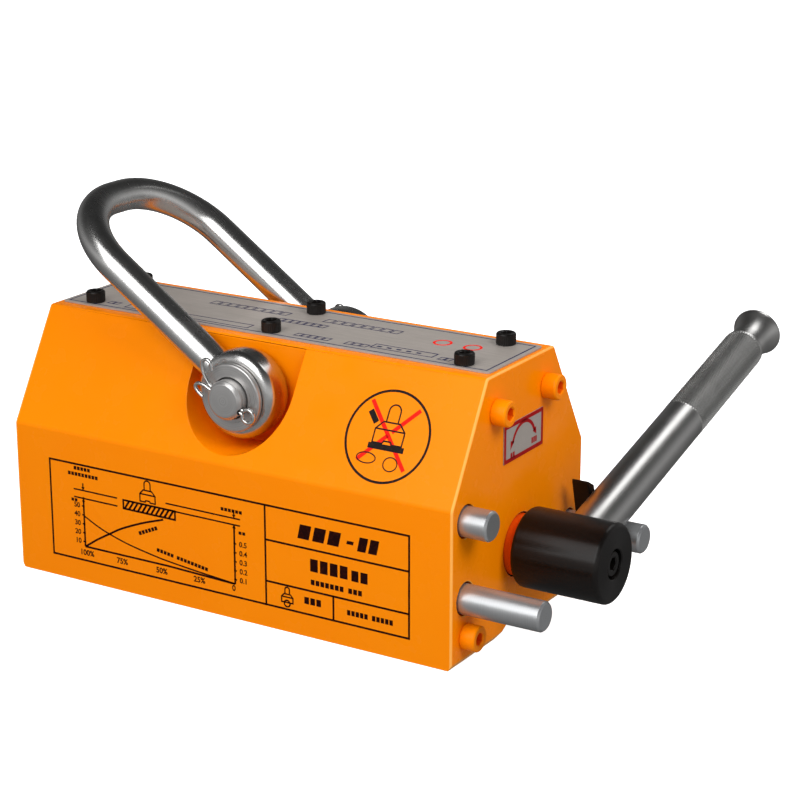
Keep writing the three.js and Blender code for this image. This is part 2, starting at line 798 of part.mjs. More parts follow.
const rotor = new THREE.Group();
rotor.position.z = rotorAxisHeight;
rotor.rotation.x = offAngle;
block.add(rotor);
piece(rotor, "rotor_pole_1", rotorSegment(1), steel);
piece(rotor, "rotor_pole_2", rotorSegment(-1), steel);
piece(rotor, "rotor_side_strip_1", rotorSideStrip(1), brass);
piece(rotor, "rotor_side_strip_2", rotorSideStrip(-1), brass);
for (let i = 0; i < magnetCount; i += 1) {
  piece(rotor, `rotor_magnet_${i + 1}`, rotorMagnet(i), nickel);
}
piece(rotor, "rotor_tie_bolt_1", tieBolt(1), steel);
piece(rotor, "rotor_tie_bolt_2", tieBolt(-1), steel);
piece(rotor, "drive_shaft", driveShaft(), steel);
piece(rotor, "far_shaft", farShaft(), steel);
piece(rotor, "drive_key", driveKey(), steel);
piece(rotor, "handle_hub", handleHub(), black);
piece(rotor, "handle_bar", handleBar(), steel);
piece(rotor, "safety_catch", safetyCatch(), black);
const hubScrew = piece(rotor, "hub_screw", capScrew(m8, hubScrewReach), black);
hubScrew.rotation.y = Math.PI / 2;
hubScrew.position.x = hubScrewSeat;

const lift = new THREE.Group();
lift.position.z = shacklePinHeight;
block.add(lift);
piece(lift, "shackle_pin", shacklePin(), polished);
piece(lift, "shackle_washer_front", shackleWasher(-1), polished);
piece(lift, "shackle_washer_rear", shackleWasher(1), polished);
piece(lift, "split_pin_front", splitPin(), polished).position.y = -splitPinAt;
piece(lift, "split_pin_rear", splitPin(), polished).position.y = splitPinAt;
const bow = piece(lift, "shackle_bow", shackleBow(), polished);
bow.rotation.y = -shackleLean * degree;

// The origin is the middle of the whole outline's footprint, in the plane of the pole faces.
assembly.updateMatrixWorld(true);
const extent = new THREE.Box3().setFromObject(assembly, true);
block.position.x = -(extent.min.x + extent.max.x) / 2;
block.position.y = -(extent.min.y + extent.max.y) / 2;
assembly.updateMatrixWorld(true);

export default assembly;
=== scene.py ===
import json
from math import atan2, cos, hypot, pi, radians, sin, sqrt, tan

import bmesh
import bpy
from mathutils import Matrix, Vector

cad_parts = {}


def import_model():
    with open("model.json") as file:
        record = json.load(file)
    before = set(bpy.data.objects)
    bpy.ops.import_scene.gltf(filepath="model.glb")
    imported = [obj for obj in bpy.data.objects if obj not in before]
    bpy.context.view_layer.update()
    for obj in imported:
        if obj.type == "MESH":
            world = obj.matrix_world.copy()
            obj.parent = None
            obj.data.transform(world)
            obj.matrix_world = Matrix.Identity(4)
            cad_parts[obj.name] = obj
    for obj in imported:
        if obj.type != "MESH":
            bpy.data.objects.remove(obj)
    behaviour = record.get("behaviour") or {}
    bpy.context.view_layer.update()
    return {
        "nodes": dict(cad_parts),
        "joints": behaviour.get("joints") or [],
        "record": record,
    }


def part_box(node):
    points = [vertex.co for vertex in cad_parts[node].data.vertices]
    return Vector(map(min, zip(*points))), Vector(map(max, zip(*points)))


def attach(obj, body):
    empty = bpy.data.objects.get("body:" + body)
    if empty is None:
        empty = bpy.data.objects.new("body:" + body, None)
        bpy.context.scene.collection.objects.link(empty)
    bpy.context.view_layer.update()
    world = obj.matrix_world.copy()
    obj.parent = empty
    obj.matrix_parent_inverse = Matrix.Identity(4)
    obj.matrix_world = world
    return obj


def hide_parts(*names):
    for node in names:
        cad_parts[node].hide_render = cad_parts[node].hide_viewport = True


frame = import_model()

MM = 0.001
JOINTS = {joint["name"]: joint for joint in frame["joints"]}

# ---------------- places taken from the frame
END_LOW, END_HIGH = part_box("far_end_plate")[0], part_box("drive_end_plate")[1]
ORIGIN = Vector(((END_LOW.x + END_HIGH.x) / 2, (END_LOW.y + END_HIGH.y) / 2, END_LOW.z))


def span(node):
    """Lowest and highest corner of a CAD node, in millimetres from the block's origin."""
    low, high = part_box(node)
    return (low - ORIGIN) / MM, (high - ORIGIN) / MM


def middle(node):
    """Centre of a CAD node's box, in the same axes."""
    low, high = span(node)
    return [(low[i] + high[i]) / 2 for i in range(3)]


def shift(x=0, y=0, z=0):
    return Matrix.Translation((x, y, z))


HALF_LENGTH = span("drive_end_plate")[1].x
HALF_BASE = span("drive_end_plate")[1].y
HEIGHT = span("drive_end_plate")[1].z
AXIS_HEIGHT = (JOINTS["handle_turn"]["pos_m"][2] - ORIGIN.z) / MM
PIN_HEIGHT = (JOINTS["shackle_swing"]["pos_m"][2] - ORIGIN.z) / MM
CROWN = Vector(next(m for m in frame["record"]["mounts"] if m["name"] == "shackle_crown")["axis"])
LEAN = atan2(-CROWN.x, CROWN.z)
ALONG_BAR = Vector(JOINTS["catch_slide"]["axis"])
HANDLE_LIFT = atan2(ALONG_BAR.z, ALONG_BAR.y)

BLOCK = Matrix.Translation(ORIGIN)
ROTOR = BLOCK @ shift(z=AXIS_HEIGHT * MM) @ Matrix.Rotation(HANDLE_LIFT, 4, "X")
LIFT = BLOCK @ shift(z=PIN_HEIGHT * MM)
LEANING = LIFT @ Matrix.Rotation(-LEAN, 4, "Y")

# ---------------- driving sizes, millimetres
PRINT = 0.05  # thickness of a printed mark
LINE, THIN = 1.05, 0.8  # widths of the chart's lines
SKIN = 0.08  # the painted sides lie this far inside the CAD sides, so that prints stay within them
TOP_HALF = 33.5
SHOULDER = 80.5
EDGE_ROUND = 1.2
GROOVE_HALF = 21
GROOVE_DEPTH = 11
BORE_RADIUS = 28.6
CORE_HALF = HALF_LENGTH - 12.2  # inner faces of the end plates
STRIP_SLOT = (6.1, GROOVE_DEPTH - 9, 20)  # half width, bottom and top
MAGNET_SLOT = (16.2, 60, 95.8)
BUSH_HOLE = (13.7, 9.5)  # radius and depth in the far end plate
FLANGE_HOLE = (20.6, 3.6)  # radius and depth behind the drive end plate
BOSS_HOLE = 16.3
BOSS = (13.6, 15.6, 20, 2.8)  # inner, outer and flange radius, and the flange's thickness
POCKET_RADIUS = 31
POCKET_MIDDLE = -1.4
POCKET_CENTRE = 115.5
POCKET_FLOOR = 34
STOP_PIN_RADIUS = 7.5
STOP_PIN_HOLE = 8.4
TOE = (2, 3)  # length and height of the chamfer at each end of the pole faces
BEYOND = 5  # how far a cutting tool runs past the surface
M8 = dict(head=6.5, height=8, socket=6, depth=4.5, shank=3.9)
M6 = dict(head=5, height=6, socket=5, depth=3.2, shank=2.9)
COUNTERBORE = 6.9
BAR_X = 160  # the handle's plane
BAR_RADIUS = 11.4
HUB = (20.25, 2.5, 8.15, 7.6, 175.2, 4.2, 168.4)  # radius, rounding, bore, recess, seat, shank, shoulder
HUB_SCREW_SEAT = 175.4
GRIP = (130, 214)
GRIP_BASE, GRIP_CREST = 11.25, 11.7
KNURL_AROUND, KNURL_ALONG = 112, 100
SHACKLE_PIN_RADIUS = 10
SHACKLE_PIN_HOLE = 10.3
SPLIT_PIN_AT, SPLIT_PIN_TILT = 60.2, 27
EYE_BORE = 10.4
EYE = (34.6, 54, 44.5, 22.5, 18, EYE_BORE)  # inner and outer face, where it narrows, its radii and bore
BOW_RADIUS = 8.45
BOW = (45, 135.8, 41, 8)  # half span, reach from pin to crown, corner radius and start inside the eye
OWN_PLACE = "own_place"  # each vertex's place in its piece's own axes, which the materials read


# ---------------- mesh helpers
def turn(axis, degrees):
    return Matrix.Rotation(radians(degrees), 4, axis)


def basis(origin, across, up):
    """Matrix that lays drawing axes (u, v, out of the sheet) on a face."""
    u, v = Vector(across).normalized(), Vector(up).normalized()
    out = u.cross(v)
    rows = [(u[i], v[i], out[i], origin[i]) for i in range(3)]
    return Matrix([*rows, (0, 0, 0, 1)])


X_TO_Y = turn("Z", 90)
X_TO_Z = turn("Y", -90)
YZ_TO_X = basis((0, 0, 0), (0, 1, 0), (0, 0, 1))  # lays (u, v) on (y, z) and extrudes along +X
XZ_TO_Y = basis((0, 0, 0), (1, 0, 0), (0, 0, 1))  # lays (u, v) on (x, z) and extrudes along -Y


def arc(centre, radius, start, end, steps):
    """Points on a circle in the sheet, from one angle in degrees to another."""
    angles = [radians(start + (end - start) * i / steps) for i in range(steps + 1)]
    return [(centre[0] + radius * cos(a), centre[1] + radius * sin(a)) for a in angles]


def rounded(corners, steps=4):
    """Outline whose corners (u, v, radius) are drawn as arcs; a radius of 0 keeps the corner sharp."""
    outline = []
    for i, (u, v, radius) in enumerate(corners):
        here = Vector((u, v))
        if not radius:
            outline.append(tuple(here))
            continue
        back = (Vector(corners[i - 1][:2]) - here).normalized()
        ahead = (Vector(corners[(i + 1) % len(corners)][:2]) - here).normalized()
        half = back.angle(ahead) / 2
        centre = here + (back + ahead).normalized() * radius / sin(half)
        first = here + back * radius / tan(half) - centre
        last = here + ahead * radius / tan(half) - centre
        begin = atan2(first.y, first.x)
        sweep_angle = (atan2(last.y, last.x) - begin + pi) % (2 * pi) - pi
        for k in range(steps + 1):
            a = begin + sweep_angle * k / steps
            outline.append((centre.x + radius * cos(a), centre.y + radius * sin(a)))
    return outline


def ring_of(bm, radius, distance, sides, axis=0):
    """Vertices round X (axis 0) or Y (axis 1); radius 0 gives one, and it may be a function of the angle."""
    ring = []
    for i in range(1 if radius == 0 else sides):
        a = 2 * pi * i / sides
        r = radius(a) if callable(radius) else radius
        place = [r * cos(a), r * sin(a)]
        place.insert(axis, distance)
        ring.append(bm.verts.new(place))
    return ring


def skin(bm, lower, upper):
    """Faces between two rings of vertices; a ring of one vertex is a point on the axis."""
    count = max(len(lower), len(upper))
    for i in range(count):
        j = (i + 1) % count
        if len(lower) == 1:
            bm.faces.new((lower[0], upper[i], upper[j]))
        elif len(upper) == 1:
            bm.faces.new((lower[i], upper[0], lower[j]))
        else:
            bm.faces.new((lower[i], upper[i], upper[j], lower[j]))


def skin_along(bm, rings, closed=False, capped=False):
    """Skins each ring to the next, and the last to the first if closed; capped adds flat ends."""
    for lower, upper in zip(rings, rings[1:] + (rings[:1] if closed else [])):
        skin(bm, lower, upper)
    if capped:
        bm.faces.new(rings[0])
        bm.faces.new(reversed(rings[-1]))
    return bm


def lathe(profile, sides=64, looped=False):
    """Turns (radius, distance) points about X."""
    bm = bmesh.new()
    return skin_along(bm, [ring_of(bm, radius, distance, sides) for radius, distance in profile], looped)


def prism(outline, low, high):
    """Extrudes an outline in the XY plane from z = low to z = high."""
    bm = bmesh.new()
    bottom, top = [[bm.verts.new((u, v, z)) for u, v in outline] for z in (low, high)]
    bm.faces.new(reversed(bottom))
    bm.faces.new(top)
    skin(bm, top, bottom)
    return bm


def rectangle(u0, v0, u1, v1):
    return [(u0, v0), (u1, v0), (u1, v1), (u0, v1)]


def slab(low, high):
    """A box between two corners."""
    return prism(rectangle(low[0], low[1], high[0], high[1]), low[2], high[2])


def sweep(points, section, side=None):
    """Skins a closed section (u, v) along a 3-D line, carrying its frame without twist, with flat ends."""
    bm = bmesh.new()
    path = [Vector(p) for p in points]
    tangents = []
    for i in range(len(path)):
        ahead, back = path[min(i + 1, len(path) - 1)], path[max(i - 1, 0)]
        tangents.append((ahead - back).normalized())
    side = side or tangents[0].orthogonal().normalized()
    rings = []
    for point, tangent in zip(path, tangents):
        side = (side - tangent * side.dot(tangent)).normalized()
        other = tangent.cross(side)
        rings.append([bm.verts.new(point + side * u + other * v) for u, v in section])
    return skin_along(bm, rings, capped=True)


def moved(bm, matrix):
    bm.transform(matrix)
    return bm


def outward(bm):
    bmesh.ops.recalc_face_normals(bm, faces=bm.faces)
    return bm


def mesh_of(name, bm):
    """Turns bm into a mesh datablock and frees it."""
    mesh = bpy.data.meshes.new(name)
    bm.to_mesh(mesh)
    bm.free()
    return mesh


def add_object(name, data):
    made = bpy.data.objects.new(name, data)
    bpy.context.scene.collection.objects.link(made)
    return made


def evaluated(made):
    """The object's geometry with its modifiers applied."""
    bpy.context.view_layer.update()
    mesh = bpy.data.meshes.new_from_object(made.evaluated_get(bpy.context.evaluated_depsgraph_get()))
    bm = bmesh.new()
    bm.from_mesh(mesh)
    bpy.data.meshes.remove(mesh)
    return bm


def merged(parts):
    bm = bmesh.new()
    for part in parts:
        mesh = mesh_of("part", part)
        bm.from_mesh(mesh)
        bpy.data.meshes.remove(mesh)
    return bm


def boolean(bm, tools, operation="DIFFERENCE"):
    """Cuts bm with, or joins it to, each tool in turn."""
    base, *helpers = [add_object("solid", mesh_of("solid", outward(part))) for part in (bm, *tools)]
    for helper in helpers:
        modifier = base.modifiers.new("cut", "BOOLEAN")
        modifier.operation = operation
        modifier.solver = "EXACT"
        modifier.object = helper
    result = evaluated(base)
    for leftover in [base, *helpers]:
        data = leftover.data
        bpy.data.objects.remove(leftover)
        bpy.data.meshes.remove(data)
    bmesh.ops.remove_doubles(result, verts=result.verts, dist=0.0005)
    bmesh.ops.dissolve_degenerate(result, edges=result.edges, dist=0.0005)
    return result


def bevel(bm, edges, width, segments=3):
    bmesh.ops.bevel(
        bm, geom=edges, offset=width, offset_type="OFFSET", segments=segments, profile=0.5,
        affect="EDGES", clamp_overlap=False,
    )


def sharp_edges(bm, degrees=25):
    limit = radians(degrees)
    return [e for e in bm.edges if e.is_manifold and e.calc_face_angle(0) > limit]


def piece(name, bm, finishes, stands_for=(), place=BLOCK, body="housing", smooth=32, keep_flat=True):
    """Makes one named object from a millimetre mesh and says which body it rides on."""
    limit = radians(smooth)
    bm.transform(Matrix.Scale(MM, 4))
    own = bm.verts.layers.float_vector.new(OWN_PLACE)
    for vert in bm.verts:
        vert[own] = vert.co
    outward(moved(bm, place))
    for face in bm.faces:
        face.smooth = True
    for edge in bm.edges:
        edge.smooth = edge.is_manifold and edge.calc_face_angle(0) < limit
    made = add_object(name, mesh_of(name, bm))
    for finish in finishes if isinstance(finishes, list) else [finishes]:
        made.data.materials.append(finish)
    if keep_flat:
        made.modifiers.new("flat faces stay flat", "WEIGHTED_NORMAL").keep_sharp = True
    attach(made, body)
    if stands_for:
        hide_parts(*stands_for)


# ---------------- materials
class Nodes:
    """Adds shader nodes to a tree. A socket's value is linked if it is an output, and set if not."""

    def __init__(self, tree):
        self.tree = tree

    def node(self, kind, sockets=None, **properties):
        made = self.tree.nodes.new("ShaderNode" + kind)
        for key, value in properties.items():
            setattr(made, key, value)
        for socket, value in (sockets or {}).items():
            if isinstance(value, bpy.types.NodeSocket):
                self.tree.links.new(value, made.inputs[socket])
            else:
                made.inputs[socket].default_value = value
        return made

    def colours(self, fac, *stops):
        ramp = self.node("ValToRGB", {"Fac": fac})
        elements = ramp.color_ramp.elements
        while len(elements) < len(stops):
            elements.new(0.5)
        for element, (position, colour) in zip(elements, stops):
            element.position = position
            element.color = (*colour, 1)
        return ramp.outputs["Color"]


class Finish(Nodes):
    """A Principled material whose colour, roughness and bump come from procedural nodes."""

    def __init__(self, name, **sockets):
        self.material = bpy.data.materials.new(name)
        self.material.use_nodes = True
        super().__init__(self.material.node_tree)
        self.shader = self.tree.nodes["Principled BSDF"]
        for socket, value in sockets.items():
            self.shader.inputs[socket.replace("_", " ")].default_value = value
        self.place = self.node("Attribute", attribute_name=OWN_PLACE).outputs["Vector"]
        self.relief = None

    def feed(self, socket, source):
        self.tree.links.new(source, self.shader.inputs[socket])

    def noise(self, per_metre, detail=2.0, stretch=(1, 1, 1), roughness=0.5):
        place = self.node("Mapping", {"Scale": stretch, "Vector": self.place}).outputs["Vector"]
        sockets = {"Scale": per_metre, "Detail": detail, "Roughness": roughness, "Vector": place}
        return self.node("TexNoise", sockets).outputs["Fac"]

    def rings(self, per_metre, axis):
        """Turning marks: circles round one axis, spaced along it and, on end faces, outwards from it."""
        apart = self.node("SeparateXYZ", {"Vector": self.place}).outputs
        across = {c: apart[c] for c in "XYZ" if c != axis}
        flat = self.node("CombineXYZ", across).outputs["Vector"]
        radius = self.node("VectorMath", {0: flat}, operation="LENGTH").outputs["Value"]
        total = self.node("Math", {0: radius, 1: apart[axis]}, operation="ADD").outputs["Value"]
        sockets = {"Scale": per_metre, "Detail": 3, "W": total}
        return self.node("TexNoise", sockets, noise_dimensions="1D").outputs["Fac"]

    def spread(self, fac, low, high):
        """Maps a noise value, which lies about 0.5, to the range low..high."""
        sockets = {"From Min": 0.3, "From Max": 0.7, "To Min": low, "To Max": high, "Value": fac}
        return self.node("MapRange", sockets).outputs["Result"]

    def blend(self, fac, first, second, mode="MIX"):
        sockets = {"Factor": fac, "A": first, "B": second}
        return self.node("Mix", sockets, data_type="RGBA", blend_type=mode).outputs["Result"]

    def colour(self, source):
        self.feed("Base Color", source)

    def mottled(self, patches, most, grain, fresh, worn, stops=(0.3, 0.7)):
        """A fine grain in two pairs of tones; the worn pair shows in patches, by up to most."""
        tones = [self.colours(grain, *zip(stops, pair)) for pair in (fresh, worn)]
        self.colour(self.blend(self.spread(patches, 0, most), *tones))

    def rough(self, fac, low, high):
        self.feed("Roughness", self.spread(fac, low, high))

    def patchy_rough(self, patches, start, end, grain, low, high):
        """Roughness that follows the grain, and the patches where they are strong."""
        self.rough(self.blend(self.spread(patches, start, end), grain, patches), low, high)

    def bump(self, fac, depth_mm, strength=1.0):
        """Adds relief of a real depth; later calls ride on earlier ones."""
        sockets = {"Strength": strength, "Distance": depth_mm * MM, "Height": fac}
        if self.relief:
            sockets["Normal"] = self.relief
        self.relief = self.node("Bump", sockets).outputs["Normal"]
        self.feed("Normal", self.relief)


def enamel(name, main, deep, hollow, gloss=0.24):
    """Sprayed gloss enamel: slight cloudiness, orange peel, fine dust nibs, and painted shade that turns it
    towards the hollow colour where ambient occlusion finds hollows.
    """
    f = Finish(name, Specular_IOR_Level=0.1)
    cloud, dust = f.noise(14, 3), f.noise(1500, 2)
    tone = f.colours(cloud, (0.3, deep), (0.7, main))
    nibs = f.colours(dust, (0.26, deep), (0.34, main))
    sprayed = f.blend(f.spread(dust, 0.0, 0.25), tone, nibs)
    # painted shade: the piece's own ambient occlusion multiplies the colour towards the hollow colour
    painted_shade_occlusion = f.node("AmbientOcclusion", {"Distance": 0.035}, samples=6, only_local=True)
    shade = f.colours(painted_shade_occlusion.outputs["AO"], (0.25, hollow), (0.85, (1.0, 1.0, 1.0)))
    f.colour(f.blend(1.0, sprayed, shade, "MULTIPLY"))
    f.rough(f.noise(60, 4), gloss - 0.05, gloss + 0.08)
    f.bump(f.noise(330, 2), 0.035, 0.3)
    f.bump(dust, 0.01, 0.2)
    return f.material


def ink(name, colour, worn):
    """Screen-printed ink: faint mottling with a soft sheen."""
    f = Finish(name, Specular_IOR_Level=0.08)
    speck = f.noise(900, 3)
    f.colour(f.colours(speck, (0.25, worn), (0.5, colour)))
    f.rough(f.noise(250, 2), 0.35, 0.55)
    f.bump(speck, 0.008, 0.4)
    return f.material


def turned_steel(name, light, dark, axis, roughness=0.26, lines=2600, depth=0.002, metallic=1.0):
    """Machined steel with fine tool lines round the axis, and faint stains."""
    f = Finish(name, Metallic=metallic)
    tool, stain = f.rings(lines, axis), f.noise(55, 4)
    lines_tone = f.colours(tool, (0.3, dark), (0.72, light))
    stain_tone = f.colours(stain, (0.3, dark), (0.6, light))
    f.colour(f.blend(f.spread(stain, 0.1, 0.5), lines_tone, stain_tone))
    f.patchy_rough(stain, 0.2, 0.6, tool, roughness - 0.05, roughness + 0.08)
    f.bump(tool, depth, 0.3)
    f.bump(f.noise(420, 3), 0.004, 0.15)
    return f.material


def polished_steel(name):
    """Polished forging: satin mirror with hairline scratches and faint handling smudges."""
    f = Finish(name, Metallic=1.0)
    smudge, hair = f.noise(38, 4), f.noise(700, 3, (1, 1, 0.03), 0.6)
    clean, dull = (0.66, 0.655, 0.645), (0.57, 0.565, 0.55)
    smudged = f.colours(smudge, (0.3, dull), (0.6, clean))
    scratched = f.colours(hair, (0.3, dull), (0.5, clean))
    f.colour(f.blend(f.spread(hair, 0, 1), smudged, scratched))
    f.patchy_rough(smudge, 0.3, 0.8, hair, 0.2, 0.3)
    f.bump(f.noise(90, 2), 0.02, 0.06)
    f.bump(hair, 0.0006, 0.2)
    return f.material


def black_oxide(name, roughness=0.34, turned=False):
    """Blackened steel: near black, slightly mottled; a turned one stretches its highlights along X."""
    f = Finish(name, Specular_IOR_Level=0.3)
    if turned:
        f.shader.inputs["Anisotropic"].default_value = 0.85
        f.shader.inputs["Anisotropic Rotation"].default_value = 0.25
        f.feed("Tangent", f.node("Tangent", direction_type="RADIAL", axis="X").outputs["Tangent"])
    grain, mottle = f.noise(700, 4), f.noise(70, 4)
    even = f.colours(grain, (0.3, (0.003, 0.0022, 0.002)), (0.75, (0.005, 0.004, 0.0036)))
    worn = f.colours(grain, (0.3, (0.004, 0.003, 0.0025)), (0.8, (0.009, 0.007, 0.006)))
    f.colour(f.blend(f.spread(mottle, 0, 1), even, worn))
    f.patchy_rough(mottle, 0.3, 0.7, grain, roughness - 0.03, roughness + 0.05)
    f.bump(grain, 0.0008, 0.12)
    return f.material


def foil(name):
    """Printed aluminium label: fine grain along its length, with a soft satin gloss."""
    f = Finish(name, Metallic=0.2, Specular_IOR_Level=0.35)
    grain, cloud = f.noise(2200, 3, (0.03, 1, 1), 0.6), f.noise(45, 3)
    fresh, worn = [(0.38, 0.34, 0.31), (0.48, 0.43, 0.39)], [(0.33, 0.30, 0.27), (0.43, 0.39, 0.35)]
    f.mottled(cloud, 0.6, grain, fresh, worn)
    f.rough(cloud, 0.3, 0.44)
    f.bump(grain, 0.006, 0.3)
    return f.material


def ground_steel(name):
    """Surface-ground pole face: straight grinding lines along X, with a few darker scuffs."""
    f = Finish(name, Metallic=1.0)
    lines, scuff = f.noise(1800, 4, (0.01, 1, 1), 0.65), f.noise(45, 5, (0.5, 1, 1))
    fresh, worn = [(0.32, 0.31, 0.30), (0.52, 0.51, 0.50)], [(0.22, 0.21, 0.20), (0.42, 0.41, 0.40)]
    f.mottled(scuff, 1, lines, fresh, worn)
    f.rough(scuff, 0.24, 0.42)
    f.bump(lines, 0.008, 0.6)
    return f.material


def brass(name, axis):
    """Machined brass with tool lines and slight browning."""
    f = Finish(name, Metallic=1.0)
    tool, tarnish = f.rings(2200, axis), f.noise(60, 4)
    fresh, worn = [(0.42, 0.25, 0.06), (0.62, 0.40, 0.12)], [(0.26, 0.14, 0.035), (0.42, 0.25, 0.07)]
    f.mottled(tarnish, 0.8, tool, fresh, worn)
    f.rough(tarnish, 0.24, 0.42)
    f.bump(tool, 0.006, 0.5)
    return f.material


def nickel(name):
    """Nickel-plated sintered magnet: softly pitted and bright."""
    f = Finish(name, Metallic=1.0)
    pits, cloud = f.noise(1300, 3), f.noise(80, 3)
    f.colour(f.colours(cloud, (0.3, (0.45, 0.43, 0.39)), (0.7, (0.60, 0.58, 0.53))))
    f.rough(pits, 0.18, 0.34)
    f.bump(pits, 0.015, 0.4)
    return f.material


# The last colour of each enamel is the colour of its painted shade in hollows.
PAINT = enamel("orange_enamel", (1.0, 0.262, 0.0), (1.0, 0.244, 0.0), (0.9, 0.42, 0.4))
# painted highlight: a lighter orange on the roundings of the end edges stands in for the softbox's
# reflection there
EDGE_HIGHLIGHT_PAINT = enamel("painted_edge_highlight_enamel", (1.0, 0.46, 0.10), (1.0, 0.36, 0.05), (1.0, 0.8, 0.8))
# painted shade: a darker, redder copy of the body's orange, standing for the shade on the boss
SHADED_BOSS_ENAMEL = enamel("boss_enamel_darkened_as_painted_shade", (0.85, 0.085, 0.002), (0.74, 0.066, 0.002), (0.9, 0.6, 0.6))
INK = ink("maroon_ink", (0.012, 0.0008, 0.0006), (0.04, 0.004, 0.001))
DARK_INK = ink("black_ink", (0.012, 0.008, 0.008), (0.03, 0.018, 0.012))
RED_INK = ink("red_ink", (0.86, 0.010, 0.004), (0.72, 0.02, 0.006))
NAVY_INK = ink("navy_ink", (0.018, 0.020, 0.075), (0.05, 0.05, 0.10))
LABEL_RED = ink("label_red_ink", (0.36, 0.004, 0.006), (0.28, 0.008, 0.008))
ZINC = turned_steel("turned_zinc_steel", (0.54, 0.55, 0.56), (0.44, 0.45, 0.46), "X", 0.33, metallic=0.8)
WASHER_STEEL = turned_steel("turned_washer_steel", (0.58, 0.57, 0.56), (0.42, 0.41, 0.40), "Y", 0.3,
                            lines=1800, depth=0.004, metallic=0.8)
BAR_STEEL = turned_steel("turned_handle_steel", (0.54, 0.535, 0.525), (0.46, 0.455, 0.445), "Y", 0.33)
KNURL_STEEL = turned_steel("knurled_steel", (0.66, 0.655, 0.64), (0.56, 0.555, 0.54), "Y", 0.34,
                           lines=900, depth=0.0)  # its relief is in the mesh
POLISHED = polished_steel("polished_steel")
BLACK = black_oxide("black_oxide")
BLACK_HUB = black_oxide("turned_black_oxide", 0.33, True)
FOIL = foil("label_foil")
GROUND = ground_steel("ground_pole_steel")
# painted shade: bored steel made much darker than the core steel, for the shade inside the bore and holes
DARKENED_BORE_STEEL = turned_steel("bored_steel_darkened_as_painted_shade", (0.20, 0.19, 0.18), (0.10, 0.095, 0.09), "X", 0.4)
BRASS = brass("machined_brass", "X")
NICKEL = nickel("nickel_plate")
CORE_STEEL = turned_steel("core_steel", (0.50, 0.49, 0.48), (0.34, 0.33, 0.32), "X", 0.34)


# ---------------- painted block
def block_section():
    side = HALF_BASE - SKIN
    return [
        (-side, 0), (-GROOVE_HALF, 0), (0, GROOVE_DEPTH), (GROOVE_HALF, 0), (side, 0),
        (side, SHOULDER), (TOP_HALF - SKIN, HEIGHT), (SKIN - TOP_HALF, HEIGHT), (-side, SHOULDER),
    ]


def pocket_tool(side):
    """U-shaped pocket for a shackle eye: round below, open above."""
    right, left = POCKET_MIDDLE + POCKET_RADIUS, POCKET_MIDDLE - POCKET_RADIUS
    bend = arc((POCKET_MIDDLE, POCKET_CENTRE), POCKET_RADIUS, 0, -180, 48)
    outline = [(right, HEIGHT + 9), *bend, (left, HEIGHT + 9)]
    near, far = (POCKET_FLOOR, HALF_BASE + 9) if side < 0 else (-HALF_BASE - 9, -POCKET_FLOOR)
    return moved(prism(outline, near, far), XZ_TO_Y)


def toe_tool(side):
    """Small chamfer along the bottom edge of an end."""
    edge, (along, up) = side * HALF_LENGTH, TOE
    heel, out = edge - side * along, edge + side * 4
    outline = [(heel, -0.02), (edge + side * 0.02, up), (out, up), (out, -4), (heel, -4)]
    return moved(prism(outline, -HALF_BASE - BEYOND, HALF_BASE + BEYOND), XZ_TO_Y)


def rod_tool(radius, low, high, y=0, z=0, sides=64):
    return moved(lathe([(0, low), (radius, low), (radius, high), (0, high)], sides), shift(0, y, z))


def stop_pins():
    """Name, place across and up, and inner and outer end of each stop pin, from the CAD pins."""
    for node in ("stop_pin_front_upper", "stop_pin_front_lower", "stop_pin_rear"):
        low, high = span(node)
        yield node, *middle(node)[1:], low.x, high.x


def block_tools():
    """Everything that is cut out of the block."""
    end, boss_floor = HALF_LENGTH + BEYOND, CORE_HALF - 1
    seats = [rod_tool(STOP_PIN_HOLE, HALF_LENGTH - 14, end, y, z, 48) for _, y, z, _, _ in stop_pins()]
    spaces = (STRIP_SLOT, MAGNET_SLOT)
    slots = [slab((-CORE_HALF, -half, low), (CORE_HALF, half, high)) for half, low, high in spaces]
    bores = [
        rod_tool(BOSS_HOLE, boss_floor, end, 0, AXIS_HEIGHT, 72),
        rod_tool(FLANGE_HOLE[0], boss_floor, CORE_HALF + FLANGE_HOLE[1], 0, AXIS_HEIGHT, 72),
        rod_tool(BUSH_HOLE[0], -CORE_HALF - BUSH_HOLE[1], -boss_floor, 0, AXIS_HEIGHT, 48),
    ]
    for i in range(1, 5):
        node = f"far_end_screw_{i}"
        bores.append(rod_tool(COUNTERBORE, -end, span(node)[0].x + M8["height"], *middle(node)[1:], 48))
    main_bore = rod_tool(BORE_RADIUS, -CORE_HALF, CORE_HALF, 0, AXIS_HEIGHT, 96)
    pin_bore = moved(moved(rod_tool(SHACKLE_PIN_HOLE, -60, 60, 0, 0, 48), X_TO_Y), shift(z=PIN_HEIGHT))
    return [pocket_tool(-1), pocket_tool(1), *seats, main_bore, *slots, *bores, pin_bore]


def slant_top():
    """Height at which the pocket's floor runs out through the slanted side."""
    return SHOULDER + (HALF_BASE - POCKET_FLOOR) * (HEIGHT - SHOULDER) / (HALF_BASE - TOP_HALF)


def on_slant(face):
    return 0.4 < face.normal.z < 0.6 and abs(face.normal.y) > 0.8


def from_axis(point):
    return hypot(point.y, point.z - AXIS_HEIGHT)


def is_rim(edge):
    """Whether an edge is a pocket's rim in the slanted side, or a hole's rim in the handle end."""
    one, other = edge.link_faces
    places = [vert.co for vert in edge.verts]
    at_pocket = all(abs(p.x - POCKET_MIDDLE) < POCKET_RADIUS + 0.1 for p in places)
    if at_pocket and on_slant(one) != on_slant(other):
        return max(p.z for p in places) < slant_top() + 0.01
    at_end = all(p.x > HALF_LENGTH - 0.01 for p in places) and abs(one.normal.x - other.normal.x) > 0.5
    return at_end and max(from_axis(p) for p in places) < 60


